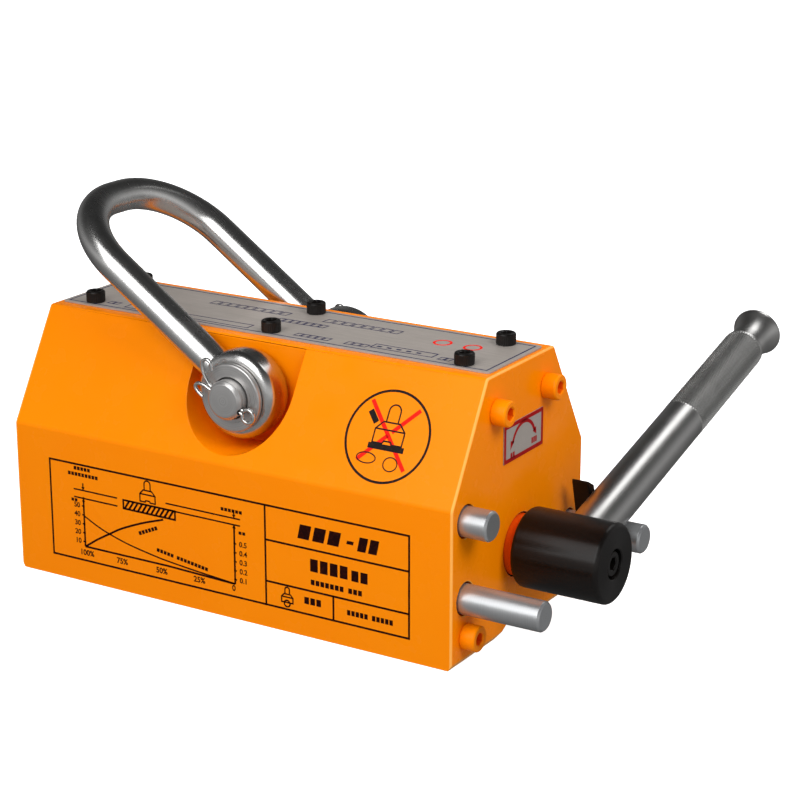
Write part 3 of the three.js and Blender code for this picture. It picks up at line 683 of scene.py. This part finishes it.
def painted_block():
    bm = outward(moved(prism(block_section(), -HALF_LENGTH, HALF_LENGTH), YZ_TO_X))
    bm = boolean(bm, [toe_tool(1), toe_tool(-1)])
    bevel(bm, [e for e in sharp_edges(bm) if max(v.co.z for v in e.verts) > GROOVE_DEPTH + 1], EDGE_ROUND, 4)
    bm = boolean(bm, block_tools())
    bevel(bm, [e for e in sharp_edges(bm, 35) if is_rim(e)], 0.5, 2)
    outward(bm)
    for face in bm.faces:
        centre = face.calc_center_median()
        groove = abs(centre.y) < GROOVE_HALF and centre.z < GROOVE_DEPTH and face.normal.z < -0.5
        inside = from_axis(centre) < BORE_RADIUS + 3 and abs(centre.x) < HALF_LENGTH - 1
        if groove or centre.z < 0.01:
            face.material_index = 1
        # faces inside the bore take the darkened steel, as painted shade
        elif inside and centre.z > 12:
            face.material_index = 2
        # the roundings of the end edges take the painted highlight
        elif abs(centre.x) > HALF_LENGTH - EDGE_ROUND and 0.15 < abs(face.normal.x) < 0.97:
            face.material_index = 3
    nodes = ("front_pole_shoe", "rear_pole_shoe", "top_bridge", "drive_end_plate", "far_end_plate")
    piece("painted_block", bm, [PAINT, GROUND, DARKENED_BORE_STEEL, EDGE_HIGHLIGHT_PAINT], nodes)


# ---------------- fasteners
def hexagon(across_flats):
    def radius(a):
        return across_flats / 2 / cos((a + pi / 6) % (pi / 3) - pi / 6)
    return radius


def cap_screw(reach, head, height, socket, depth, shank, knurled=False):
    """Socket cap screw along X with the underside of its head at 0 and its head towards +X."""
    def grip(a):
        return head - (0.11 * (1 + cos(32 * a)) if knurled else 0)

    corner = socket / sqrt(3)
    profile = [
        (0, -reach), (shank - 0.6, -reach), (shank, -reach + 0.6), (shank, 0),
        (head - 0.35, 0), (head, 0.35),
        (grip, 0.9), (grip, height - 1.3), (head, height - 0.8), (head - 0.25, height - 0.35),
        (head - 0.7, height), (corner + 0.35, height), (corner, height - 0.35),
        (hexagon(socket), height - 0.55), (hexagon(socket), height - depth),
        (socket / 2 - 0.4, height - depth - 0.1), (0, height - depth - 1.2),
    ]
    return lathe(profile, 128 if knurled else 72)


def cap_screws():
    for side, name in ((1, "drive_end_screw"), (-1, "far_end_screw")):
        for i in range(1, 5):
            node = f"{name}_{i}"
            low, high = span(node)
            bm = cap_screw(high.x - low.x - M8["height"], **M8)
            if side < 0:
                moved(bm, turn("Z", 180))
            seat = high.x - M8["height"] if side > 0 else low.x + M8["height"]
            moved(bm, shift(seat, *middle(node)[1:]))
            piece(f"painted_{node}", bm, PAINT, [node])
    for i in range(1, 7):
        node = f"top_screw_{i}"
        low, high = span(node)
        bm = moved(cap_screw(high.z - low.z - M6["height"], **M6, knurled=True), X_TO_Z)
        moved(bm, shift(*middle(node)[:2], high.z - M6["height"]))
        piece(f"black_{node}", bm, BLACK, [node])


def pin_set():
    r = STOP_PIN_RADIUS
    for node, y, z, start, end in stop_pins():
        profile = [(0, start), (r - 0.8, start), (r, start + 0.8), (r, end - 1.25), (r - 0.18, end - 0.95),
                   (r - 0.8, end - 0.22), (r - 1.1, end), (r * 0.5, end), (0, end)]
        place = BLOCK @ Matrix.Translation(Vector((0, y, z)) * MM)
        piece(f"turned_{node}", lathe(profile, 72), ZINC, [node], place)


def boss():
    low, high = span("bearing_boss")
    inner, outer, flange, step = BOSS
    profile = [(inner, low.x), (flange, low.x), (flange, low.x + step), (outer + 0.8, low.x + step),
               (outer, low.x + 3.6), (outer, high.x - 1.3), (outer - 0.4, high.x - 0.4),
               (outer - 1.3, high.x), (inner + 0.3, high.x), (inner, high.x - 0.3)]
    bm = moved(lathe(profile, 96, True), shift(z=AXIS_HEIGHT))
    # the boss gets the darker copy of the orange, as painted shade
    piece("painted_bearing_boss", bm, SHADED_BOSS_ENAMEL, ["bearing_boss"])


# ---------------- hub, handle, catch
def hub():
    low, high = span("handle_hub")
    start, end = low.x, high.x
    radius, rounding, bore, recess, seat, shank, shoulder = HUB
    corners = [(bore, start, 0), (radius, start, rounding), (radius, end, rounding),
               (recess + 0.5, end, 0.5), (recess, end - 0.5, 0), (recess, seat, 0), (shank, seat, 0),
               (shank, shoulder, 0), (bore, shoulder, 0)]
    bm = lathe(rounded(corners, 5), 96, True)
    socket = lathe([(0, 16.5), (11.7, 16.5), (11.7, 19.2), (12.6, 25), (0, 25)], 64)
    thread = lathe([(0, 0), (8.2, 0), (8.2, 17), (0, 17)], 48)
    keyway = slab((start - 1, -10.8, -2.7), (168, -7, 2.7))
    bm = boolean(bm, [*(moved(moved(tool, X_TO_Y), shift(BAR_X)) for tool in (socket, thread)), keyway])
    piece("black_hub", bm, BLACK_HUB, ["handle_hub"], ROTOR, "rotor")
    screw = moved(cap_screw(22, **M8), shift(HUB_SCREW_SEAT))
    piece("black_hub_screw", screw, BLACK, ["hub_screw"], ROTOR, "rotor")


def knurled_sleeve(low, high):
    """Diamond knurl round Y: pyramids between two crossing sets of grooves, fading out at both ends."""
    bm = bmesh.new()
    around, along = KNURL_AROUND, KNURL_ALONG
    rings = []
    for j in range(along + 1):
        fade = min(1, j / 2, (along - j) / 2)
        distance = low + (high - low) * j / along
        ring = []
        for i in range(around):
            a = 2 * pi * i / around
            r = GRIP_BASE + (GRIP_CREST - GRIP_BASE) * fade * ((i + j) % 2)
            ring.append(bm.verts.new((r * cos(a), distance, r * sin(a))))
        rings.append(ring)
    for j in range(along):
        for i in range(around):
            k = (i + 1) % around
            a, b, c, d = rings[j][i], rings[j][k], rings[j + 1][k], rings[j + 1][i]
            halves = ((a, c, b), (a, d, c)) if (i + j) % 2 == 0 else ((a, d, b), (b, d, c))
            for half in halves:
                bm.faces.new(half).material_index = 1
    return bm, rings


def handle_bar():
    low, high = GRIP
    bm, rings = knurled_sleeve(low + 0.8, high - 2.6)
    r = BAR_RADIUS
    root = [(r - 0.05, low), (r, low - 1), (r, 90), (r, 62.8), (r, 32.6), (r, 18), (r, 16.7), (8, 16.7),
            (8, 9.6), (7.4, 9), (0, 9)]
    rounding = arc((8.3, high - 2.4), 3, 0, 62, 6)[1:]
    neck = [(10.3, 217.2), (10.32, 219), (10.45, 221), (10.7, 223), (11.15, 225), (11.8, 227), (12.7, 229),
            (13.4, 230.4), (13.55, 231), (13.55, 232), (13.3, 232.6), (12.7, 232.95), (6, 232.95),
            (0, 232.95)]
    for first, profile in ((rings[0], root), (rings[-1], rounding + neck)):
        turned = [ring_of(bm, radius, distance, KNURL_AROUND, 1) for radius, distance in profile]
        skin_along(bm, [first, *turned])
    slots = ((140, 150.8, 2.1), (150.5, 153.6, 3.5))  # for the catch's neck, then for its wider foot
    tools = [slab((near - BAR_X, 33, -half), (far - BAR_X, 62.4, half)) for near, far, half in slots]
    bm = boolean(bm, tools)
    place, finishes = ROTOR @ shift(BAR_X * MM), [BAR_STEEL, KNURL_STEEL]
    piece("steel_handle", bm, finishes, ["handle_bar"], place, "rotor", keep_flat=False)


def catch():
    inner, outer, top, bottom, near, far = 45.6, 51.6, 11.4, -11, 139, 148.2
    ramp = outer - inner - 1
    outline = [(inner, bottom), (outer - 1, bottom), (outer, bottom + 1), (outer, top - ramp),
               (outer - ramp, top), (inner, top)]
    bm = outward(moved(prism(outline, near, far), YZ_TO_X))
    bevel(bm, sharp_edges(bm, 40), 0.5, 3)
    neck = slab((far - 1, inner + 0.1, -1.7), (151.2, outer - 0.1, 1.7))
    foot = slab((151, 34, -3.1), (153.2, outer - 0.1, 3.1))
    bm = boolean(bm, [neck, foot], "UNION")
    piece("black_catch", bm, BLACK, ["safety_catch"], ROTOR, "catch")


# ---------------- shackle
def eye_ring(side):
    """Forged eye with a broad rounding on its outer face and a slim one inside."""
    inner, outer, at, radius, foot, bore = EYE
    turns = [pi / 16 * i for i in range(1, 9)]
    narrowing = [(foot + (radius - foot) * sin(a), at - (at - inner) * cos(a)) for a in turns]
    rim = [(r, distance) for distance, r in arc((outer - 4.5, radius - 4.5), 4.5, 90, 0, 10)]
    ends = [(bore + 0.5, outer), (bore, outer - 0.5), (bore, inner + 0.5), (bore + 0.5, inner),
            (foot, inner)]
    bm = moved(lathe([*narrowing, *rim, *ends], 96, True), X_TO_Y)
    return moved(bm, turn("Z", 180)) if side < 0 else bm


def bow_line():
    """Centre line of the bow from the front eye over the crown to the rear eye, in its own YZ plane."""
    half, reach, corner, start = BOW
    line = [(0, -half, start + (reach - corner - start) * i / 10) for i in range(10)]
    line += [(0, -(half - corner) - corner * cos(a), reach - corner + corner * sin(a))
             for a in [pi / 2 * i / 24 for i in range(25)]]
    rear = [(x, -y, z) for x, y, z in reversed(line)]
    return line + rear


def shackle():
    bow = sweep(bow_line(), arc((0, 0), BOW_RADIUS, 0, 360 - 360 / 48, 47))
    bm = boolean(bow, [eye_ring(-1), eye_ring(1)], "UNION")
    bm = boolean(bm, [moved(rod_tool(EYE_BORE, -60, 60, 0, 0, 96), X_TO_Y)])
    piece("polished_bow", bm, POLISHED, ["shackle_bow"], LEANING, "shackle", smooth=40)


def shackle_pin():
    end = span("shackle_pin")[1].y
    r = SHACKLE_PIN_RADIUS
    profile = [(0, -end), (r - 1.9, -end), (r - 1.5, 0.12 - end), (r - 0.3, 1.3 - end), (r, 1.7 - end),
               (r, end - 1.7), (r - 0.3, end - 1.3), (r - 1.5, end - 0.12), (r - 1.9, end), (0, end)]
    spots = [shift(0, side * SPLIT_PIN_AT) @ turn("Y", SPLIT_PIN_TILT) for side in (-1, 1)]
    holes = [moved(rod_tool(2.35, -14, 14, 0, 0, 32), spot) for spot in spots]
    bm = boolean(moved(lathe(profile, 96), X_TO_Y), holes)
    piece("polished_pin", bm, WASHER_STEEL, ["shackle_pin"], LIFT)
    for side, name in ((-1, "front"), (1, "rear")):
        corners = [(10.5, 54.4, 0.3), (17.5, 54.4, 0.4), (17.5, 57.2, 1.1), (10.5, 57.2, 0.5)]
        washer = moved(lathe(rounded(corners, 4), 96, True), turn("Z", 90 * side))
        stands_for = [f"shackle_washer_{name}"]
        piece(f"polished_washer_{name}", washer, WASHER_STEEL, stands_for, LIFT)


def smooth_line(points, steps):
    """Catmull-Rom line through the given points."""
    p = [Vector(q) for q in points]
    p = [p[0] * 2 - p[1], *p, p[-1] * 2 - p[-2]]
    line = []
    for a, b, c, d in zip(p, p[1:], p[2:], p[3:]):
        for k in range(steps):
            t = k / steps
            line.append(0.5 * (2 * b + (c - a) * t + (2 * a - 5 * b + 4 * c - d) * t**2
                               + (3 * b - a - 3 * c + d) * t**3))
    return [*line, p[-2]]


def split_pins():
    """Wire folded into an eye, with its two ends curled back beyond the pin."""
    upper = [(-13.6, 8.6), (-16, 11.6), (-19, 11.6), (-20.2, 8.8), (-17.8, 5), (-13, 1.8), (-10.2, 1)]
    lower = [(-10.2, -1.0), (-14.4, -1.1), (-17.9, -2.5), (-18.4, -4.8), (-15.9, -6.2), (-12.4, -6.9)]
    eye = arc((14.4, 0), 3.4, 158, -158, 20)
    route = [*upper, (0, 1.0), (9.6, 1.0), *eye, (9.6, -1.0), (0, -1.0), *lower]
    line = smooth_line([(u, 0, v) for u, v in route], 5)
    wire = arc((0, 0), 0.98, 0, 330, 11)
    for side, name in ((-1, "front"), (1, "rear")):
        bm = moved(sweep(line, wire, Vector((0, 1, 0))), turn("Y", SPLIT_PIN_TILT))
        moved(bm, shift(0, side * SPLIT_PIN_AT))
        stands_for = [f"split_pin_{name}"]
        piece(f"wire_split_pin_{name}", bm, POLISHED, stands_for, LIFT, smooth=50)


# ---------------- printed marks
def stroke(points, width, closed=False):
    """A flat line of ink of real thickness along points in the sheet, with mitred corners."""
    bm = bmesh.new()
    p = [Vector(q) for q in points]
    count = len(p)
    left, right = [], []
    for i, here in enumerate(p):
        before = p[i - 1] if closed or i else here
        after = p[(i + 1) % count] if closed or i < count - 1 else here
        a = (here - before).normalized() if here != before else (after - here).normalized()
        b = (after - here).normalized() if here != after else a
        across = Vector((-(a + b).y, (a + b).x)).normalized()
        reach = width / 2 / max(0.35, across.dot(Vector((-a.y, a.x))))
        left.append(here + across * reach)
        right.append(here - across * reach)
    rings = [[bm.verts.new((q.x, q.y, z)) for q, z in ((l, 0), (l, PRINT), (r, PRINT), (r, 0))]
             for l, r in zip(left, right)]
    return skin_along(bm, rings, closed, not closed)


def rule(u0, v0, u1, v1, width=LINE):
    return stroke([(u0, v0), (u1, v1)], width)


def patch(points):
    return prism(points, 0, PRINT)


def letters(u, v, words, height, width, lean=0.0, hollow=0.0, rise=0.0):
    """Plain blocks in place of lettering: words of the given lengths, centred on (u, v).

    lean slants the blocks, hollow is the line width of outlined ones, and rise tilts the row, in degrees."""
    gap = width * 0.3
    advance = width + gap
    at = -(sum(words) * advance + (len(words) - 1) * width - gap) / 2
    foot, head = -height / 2, height / 2
    slope = lean * head
    tilt = shift(u, v) @ turn("Z", rise)
    blocks = []
    for count in words:
        for _ in range(count):
            end = at + width
            box = [(at - slope, foot), (end - slope, foot), (end + slope, head), (at + slope, head)]
            blocks.append(moved(stroke(box, hollow, True) if hollow else patch(box), tilt))
            at += advance
        at += width
    return blocks


def numeral(text, u, v, height):
    """Plain chart figures."""
    curve = bpy.data.curves.new("figures", "FONT")
    curve.body = text
    curve.size = height * 1.38
    curve.align_x = "CENTER"
    curve.align_y = "CENTER"
    curve.resolution_u = 4
    curve.extrude = PRINT / 2
    curve.offset = 0.035 * height
    holder = add_object("figures", curve)
    bm = evaluated(holder)
    bmesh.ops.remove_doubles(bm, verts=bm.verts, dist=1e-4)
    bpy.data.objects.remove(holder)
    bpy.data.curves.remove(curve)
    return moved(bm, shift(u, v, PRINT / 2))


def printed(name, marks, sheet, finish):
    piece(name, moved(merged(marks), sheet), finish, smooth=20, keep_flat=False)


def lifter_icon(u, v, size, groove=True):
    """Small outline of a magnet block with its shackle, drawn from its bottom centre."""
    body = [(-0.43, 0), (-0.43, 0.36), (-0.24, 0.56), (0.24, 0.56), (0.43, 0.36), (0.43, 0)]
    foot = [(0.14, 0), (0.1, 0.07), (-0.1, 0.07), (-0.14, 0)] if groove else []
    loop = [(-0.17, 0.56), *arc((0, 0.86), 0.17, 180, 0, 10), (0.17, 0.56)]
    lines = ((body + foot, True), (loop, False), ([body[1], body[4]], False))
    return [stroke([(u + size * a, v + size * b) for a, b in line], 0.75, closed) for line, closed in lines]


def arrow_head(u, v, way, size=1.1):
    return patch([(u, v), (u - size, v + way * size * 1.7), (u + size, v + way * size * 1.7)])


def chart():
    """Framed capacity chart: two curves against two axes, beside a table of four cells."""
    left, right, bottom, top = -109.6, 108.5, 12.0, 64.4
    table, cell_1, cell_2, split = 25.8, 46.4, 24.6, 65.5
    axis_l, axis_r, base = -88.2, 7.1, 19.8
    marks = [stroke(rectangle(left, bottom, right, top), LINE, True)]
    for line in ((table, bottom, table, top), (table, cell_1, right, cell_1), (table, cell_2, right, cell_2),
                 (split, bottom, split, cell_2), (axis_l, 47, axis_l, base), (axis_r, 50, axis_r, 18.8)):
        marks.append(rule(*line))
    marks.append(stroke([(axis_l, base), (-35, 19.9), (axis_r, 18.8)], LINE))
    falling = [(-88, 36.6), (-80, 32.8), (-72.3, 30.0), (-59.2, 26.5), (-42.9, 23.6), (-30.9, 22.1),
               (-14.9, 20.6), (axis_r, 18.9)]
    rising = [(-88.1, 19.8), (-80, 25.2), (-71.9, 29.9), (-63.8, 34.4), (-50.4, 40.0), (-36.9, 44.5)]
    for curve, width in ((falling, THIN), (rising, LINE)):
        line = smooth_line([(*point, 0) for point in curve], 6)
        marks.append(stroke([point.to_2d() for point in line], width))
    for i in range(5):
        left_tick, right_tick = 22.4 + 4.9 * i, 21.2 + 4.8 * i
        marks.append(rule(axis_l - 1.2, left_tick, axis_l + 0.6, left_tick, THIN))
        marks.append(numeral(str(10 * (i + 1)), axis_l - 4.4, left_tick, 2.8))
        marks.append(rule(axis_r - 0.6, right_tick, axis_r + 1.2, right_tick, THIN))
        marks.append(numeral(f"0.{i + 1}", axis_r + 5.2, right_tick, 2.8))
    for text, u in (("100%", -87.2), ("75%", -64.2), ("50%", -38.8), ("25%", -15.1), ("0", 6.2)):
        marks.append(numeral(text, u, 16.3, 3.1))
    for u0, u1, v in ((-94.4, -66, 50.6), (-94.3, -66, 46.3), (-35, 10.9, 53.7), (-35, 10.8, 50.3)):
        marks.append(rule(u0, v, u1, v, THIN))
    for u, v in ((axis_l, 50.6), (axis_r, 53.7)):
        marks += [rule(u, v + 4, u, v + 1, THIN), arrow_head(u, v, 1)]
    marks += [arrow_head(axis_l, 46.3, -1), arrow_head(axis_r, 50.3, -1)]
    captions = [(-88.5, 62.2, [5], 1.9, 0), (-88, 58.9, [9], 1.9, 0), (5.6, 57.4, [6], 1.7, 0),
                (-46.8, 36.6, [6], 2.0, 24), (-25.6, 25.2, [5, 9], 1.9, -8), (-94.2, 44.6, [2], 1.6, 0),
                (11.8, 46.6, [2], 1.6, 0)]
    for u, v, words, height, rise in captions:
        marks += letters(u, v, words, height, 1.7, rise=rise)
    return marks


def table_cells():
    """Plain blocks and a small icon in the cells where the table has its words."""
    marks = letters(57.6, 54.6, [3], 7.4, 6.6, 0.22) + letters(85.6, 54.6, [2], 7.4, 4.8, 0.22)
    marks.append(patch([(73.2, 53.4), (77.0, 53.4), (77.5, 55.2), (73.7, 55.2)]))
    marks += letters(63, 38.3, [4], 6.6, 4.4) + letters(80.6, 37.6, [2], 5.6, 4.0)
    marks += letters(67.2, 29.4, [7, 3], 2.7, 2.15)
    marks += letters(53.4, 19.1, [3], 3.6, 2.7) + letters(86.4, 18.0, [5, 5], 2.7, 1.9)
    marks += lifter_icon(38.4, 15.6, 7.8, False)
    marks.append(stroke(arc((38.3, 15.0), 1.7, 0, 345, 14), THIN, True))
    return marks


def load_plate():
    """Hatched steel section with a magnet standing on it."""
    low, high, u0, u1 = 45.8, 50.4, -62.1, -29.3
    marks = [stroke(rectangle(u0, low, u1, high), LINE, True)]
    for i in range(11):
        u = u0 + 0.8 + 2.8 * i
        marks.append(rule(u, low, u + 3.0, high, 1.15))
    return marks + lifter_icon(-46.4, 51.9, 11.2)


def round_sign():
    """Ring with plain shapes: a magnet on a bar, two ovals below, and two crossing strokes."""
    u, v, radius = 87.5, 29.4, 22.6
    black = [stroke(arc((u, v), radius, 0, 354, 59), 1.25, True), *lifter_icon(u + 0.6, 25.6, 19),
             patch(rectangle(78.2, 22.5, 98.0, 25.3)), rule(75.0, 40.6, 79.6, 35.2, 3.0)]
    for across, up, long, high in ((79.0, 17.6, 5.2, 2.6), (92.8, 16.4, 3.8, 3.4)):
        oval = [(across + long * a, up + high * b) for a, b in arc((0, 0), 1, 0, 345, 23)]
        black.append(stroke(oval, 0.6, True))
    crossing = ((74.5, 45.8, 100.8, 14.3), (101.6, 44.5, 89.2, 31.7), (87.4, 29.8, 74.0, 16.0))
    return black, [rule(*line, 2.1) for line in crossing]


def label_marks():
    """Blue frame line, empty fields and blocks for words on the top label, with two red rings."""
    u, v = 126.0, 24.4
    boxes = (((-u, -v, u, v), 0.8), ((-92, -21.6, -14, -15.8), 0.7), ((57.5, -18.8, 92.5, -12.6), 0.7))
    blue = [stroke(rectangle(*box), width, True) for box, width in boxes]
    rows = [(-34.5, 10.8, [9], 5.2, 4.2), (34.5, 10.8, [8], 5.2, 4.4), (4.5, 0.4, [7], 4.8, 3.3),
            (23.6, -18.4, [5], 4.2, 3.2), (49.5, -18.4, [3], 4.2, 3.4), (99.8, -18.0, [2], 4.2, 2.8),
            (-101.5, -17.6, [2], 3.8, 2.8)]
    for at, up, words, height, width in rows:
        blue += letters(at, up, words, height, width, 0.12, 0.62)
    blue += [rule(61 + 5.6 * i, -15.0, 61 + 5.6 * i, -16.6, 2.6) for i in range(5)]
    red = [stroke(arc((at, 6.2), 4.3, 0, 342, 19), 1.3, True) for at in (84, 101)]
    return blue, red


def direction_marks(low, high):
    """Red frame and a two-headed arc arrow that shows which way the handle turns."""
    edge = 1.0
    border = rectangle(low[0] + edge, low[1] + edge, high[0] - edge, high[1] - edge)
    turning = arc((1.6, 95.2), 11.6, 163, 20, 22)
    heads = ([(-11.9, 95.6), (-11.6, 100.2), (-7.9, 99.4)], [(14.4, 97.0), (10.6, 99.2), (14.0, 101.0)])
    words = letters(-9.6, 92.6, [2], 3.0, 1.8) + letters(12.2, 94.6, [3], 3.0, 1.5)
    return [stroke(border, 2 * edge, True), stroke(turning, 1.8), *map(patch, heads), *words]


def printed_marks():
    front = basis((0, SKIN - HALF_BASE, 0), (1, 0, 0), (0, 0, 1))
    printed("printed_chart", [*chart(), *load_plate()], front, INK)
    printed("printed_table", table_cells(), front, INK)
    slope = (0, HALF_BASE - TOP_HALF, HEIGHT - SHOULDER)
    slant = basis((0, SKIN - HALF_BASE, SHOULDER), (1, 0, 0), slope)
    black, red = round_sign()
    printed("printed_sign_red", red, slant, RED_INK)
    printed("printed_sign", black, slant @ shift(z=0.02), DARK_INK)
    top = basis((0, 0, span("top_plate")[1].z), (1, 0, 0), (0, 1, 0))
    blue, red = label_marks()
    printed("label_print_blue", blue, top, NAVY_INK)
    printed("label_print_red", red, top, RED_INK)
    low, high = span("direction_plate")
    end = basis((high.x, 0, 0), (0, 1, 0), (0, 0, 1))
    marks = direction_marks((low.y, low.z), (high.y, high.z))
    printed("direction_print", marks, end, LABEL_RED)


def label(name, bm, axis, face, width, node):
    """A foil label with the edges of its outer face, at this place along the axis, slightly rounded."""
    outward(bm)
    bevel(bm, [e for e in sharp_edges(bm, 60) if min(v.co[axis] for v in e.verts) > face - 0.01], width, 2)
    piece(name, bm, FOIL, [node])


def labels():
    low, high = span("top_plate")
    corners = rectangle(-high.x, -high.y, high.x, high.y)
    bm = prism(rounded([(u, v, 2.0) for u, v in corners], 4), low.z, high.z)
    label("foil_top_label", bm, 2, high.z, 0.15, "top_plate")
    low, high = span("direction_plate")
    label("foil_direction_label", slab(low, high), 0, high.x, 0.12, "direction_plate")


# ---------------- inner CAD pieces keep their shape
def read_from_object(material):
    """Lets a finish read places from the object, for nodes whose vertices carry none of their own."""
    nodes, links = material.node_tree.nodes, material.node_tree.links
    own = next(node for node in nodes if node.type == "ATTRIBUTE").outputs["Vector"]
    place = nodes.new("ShaderNodeTexCoord").outputs["Object"]
    for link in list(own.links):
        links.new(place, link.to_socket)


def finish_inner_nodes():
    looks = (
        (BRASS, ("groove_strip", "rotor_side_strip", "drive_bush", "far_bush", "drive_thrust_washer",
                 "far_thrust_washer")),
        (NICKEL, ("fixed_magnet", "rotor_magnet")),
        (CORE_STEEL, ("rotor_pole", "rotor_tie_bolt", "drive_shaft", "far_shaft", "drive_key")),
    )
    for finish, starts in looks:
        read_from_object(finish)
        for name, node in frame["nodes"].items():
            if name.startswith(starts):
                node.data.materials.clear()
                node.data.materials.append(finish)


# ---------------- studio
def camera():
    azimuth, elevation = radians(31.443), radians(17.32)
    aim = ORIGIN + Vector((43.53, 32.06, 94.88)) * MM
    flat = cos(elevation)
    back = Vector((sin(azimuth) * flat, -cos(azimuth) * flat, sin(elevation)))
    made = add_object("camera", bpy.data.cameras.new("camera"))
    made.data.sensor_width = 36
    made.data.lens = 101.99
    made.data.clip_start = 0.05
    made.location = aim + back * 1.17033
    made.rotation_mode = "QUATERNION"
    made.rotation_quaternion = (-back).to_track_quat("-Z", "Y")
    bpy.context.scene.camera = made


def floor():
    bm = bmesh.new()
    bmesh.ops.create_grid(bm, x_segments=1, y_segments=1, size=12)
    made = add_object("floor", mesh_of("floor", bm))
    made.location.z = ORIGIN.z - 0.0004
    made.visible_glossy = made.visible_diffuse = False
    f = Finish("pale_floor", Roughness=0.9, Specular_IOR_Level=0.1, Emission_Strength=0.95)
    f.shader.inputs["Emission Color"].default_value = (1, 1, 1, 1)
    f.colour(f.colours(f.noise(3, 2), (0.3, (0.78, 0.78, 0.785)), (0.7, (0.8, 0.8, 0.8))))
    made.data.materials.append(f.material)


def panel(name, centre, across, down, width, height, radiance, diffuse=True, glossy=True, beam=180):
    """Rectangular light in the plane of two directions; radiance is its brightness as seen directly."""
    light = bpy.data.lights.new(name, "AREA")
    light.shape = "RECTANGLE"
    light.size, light.size_y = width, height
    light.energy = radiance * pi * width * height
    light.spread = radians(beam)
    made = add_object(name, light)
    made.location = centre
    made.rotation_mode = "QUATERNION"
    made.rotation_quaternion = basis((0, 0, 0), across, -Vector(down)).to_quaternion()
    made.visible_diffuse = diffuse
    made.visible_glossy = glossy


def facing(name, centre, aim, width, height, radiance, **kinds):
    """A panel that faces a point, with its height kept upright."""
    back = (Vector(centre) - Vector(aim)).normalized()
    across = Vector((0, 0, 1)).cross(back)
    panel(name, centre, across, -back.cross(across), width, height, radiance, **kinds)


def front_softbox():
    """Large box in front and above. Its left edge ends the bright strip on the slanted side."""
    corner = ORIGIN + Vector((-440, -837, 825)) * MM
    down, across = Vector((-0.037, -0.555, -0.831)), Vector((0.876, -0.414, 0.238))
    width, above, below = 1.1, 0.5, 0.62
    centre = corner + across * width / 2 + down * (below - above) / 2
    panel("front_softbox", centre, across, down, width, above + below, 3.45)


def handle_light():
    """Narrow panel along the handle for the streak on its upper side."""
    along = ROTOR.to_3x3() @ Vector((0, 1, 0))
    centre = ROTOR @ Vector((BAR_X * MM, 0.43, 0)) + Vector((0.06, -0.057, 0.288))
    back = Vector((0.13, 0.565, 0.81)).normalized()
    down = (along - back * along.dot(back)).normalized()
    panel("handle_light", centre, back.cross(down), down, 0.15, 0.42, 0.42, diffuse=False, beam=64)


def world():
    """Soft white light all round; mirror-like pieces see grey below, dark above and darkest behind."""
    made = bpy.data.worlds.new("studio")
    bpy.context.scene.world = made
    made.use_nodes = True
    made.node_tree.nodes.clear()
    w = Nodes(made.node_tree)
    direction = w.node("TexCoord").outputs["Generated"]
    height = w.node("SeparateXYZ", {"Vector": direction}).outputs["Z"]
    level = w.node("MapRange", {"From Min": -1, "Value": height}).outputs["Result"]
    greys = ((-1, 0.25), (-0.25, 0.3), (-0.03, 0.55), (0.04, 0.7), (0.26, 0.5), (0.42, 0.22), (0.57, 0.1),
             (0.8, 0.045), (1, 0.04))
    grey = w.colours(level, *[((at + 1) / 2, (tone, tone, tone)) for at, tone in greys])
    rearward = {0: direction, 1: (-0.7, 0.7, 0)}
    behind = w.node("VectorMath", rearward, operation="DOT_PRODUCT").outputs["Value"]
    shade = w.node("MapRange", {"From Min": -0.5, "To Min": 1.0, "To Max": 0.2, "Value": behind})
    plain = w.node("Background", {"Color": (1, 1, 1, 1), "Strength": 0.42})
    seen = w.node("Background", {"Color": grey, "Strength": shade.outputs["Result"]})
    mirrored = w.node("LightPath").outputs["Is Glossy Ray"]
    mix = w.node("MixShader", {0: mirrored, 1: plain.outputs[0], 2: seen.outputs[0]})
    w.node("OutputWorld", {"Surface": mix.outputs[0]})


def studio():
    world()
    floor()
    front_softbox()
    handle_light()
    centre = ORIGIN + Vector((0, 0, 0.08))
    facing("end_light", centre + Vector((1.1, -0.25, 0.95)), centre, 0.7, 0.7, 6.8, glossy=False)
    facing("rear_light", centre + Vector((-0.7, 1.25, 0.45)), centre, 0.9, 0.7, 3.6, glossy=False)
    bpy.context.scene.view_settings.view_transform = "Standard"


# ---------------- build
for make in (camera, painted_block, cap_screws, pin_set, boss, hub, handle_bar, catch, shackle, shackle_pin,
             split_pins, labels, printed_marks, finish_inner_nodes, studio):
    make()
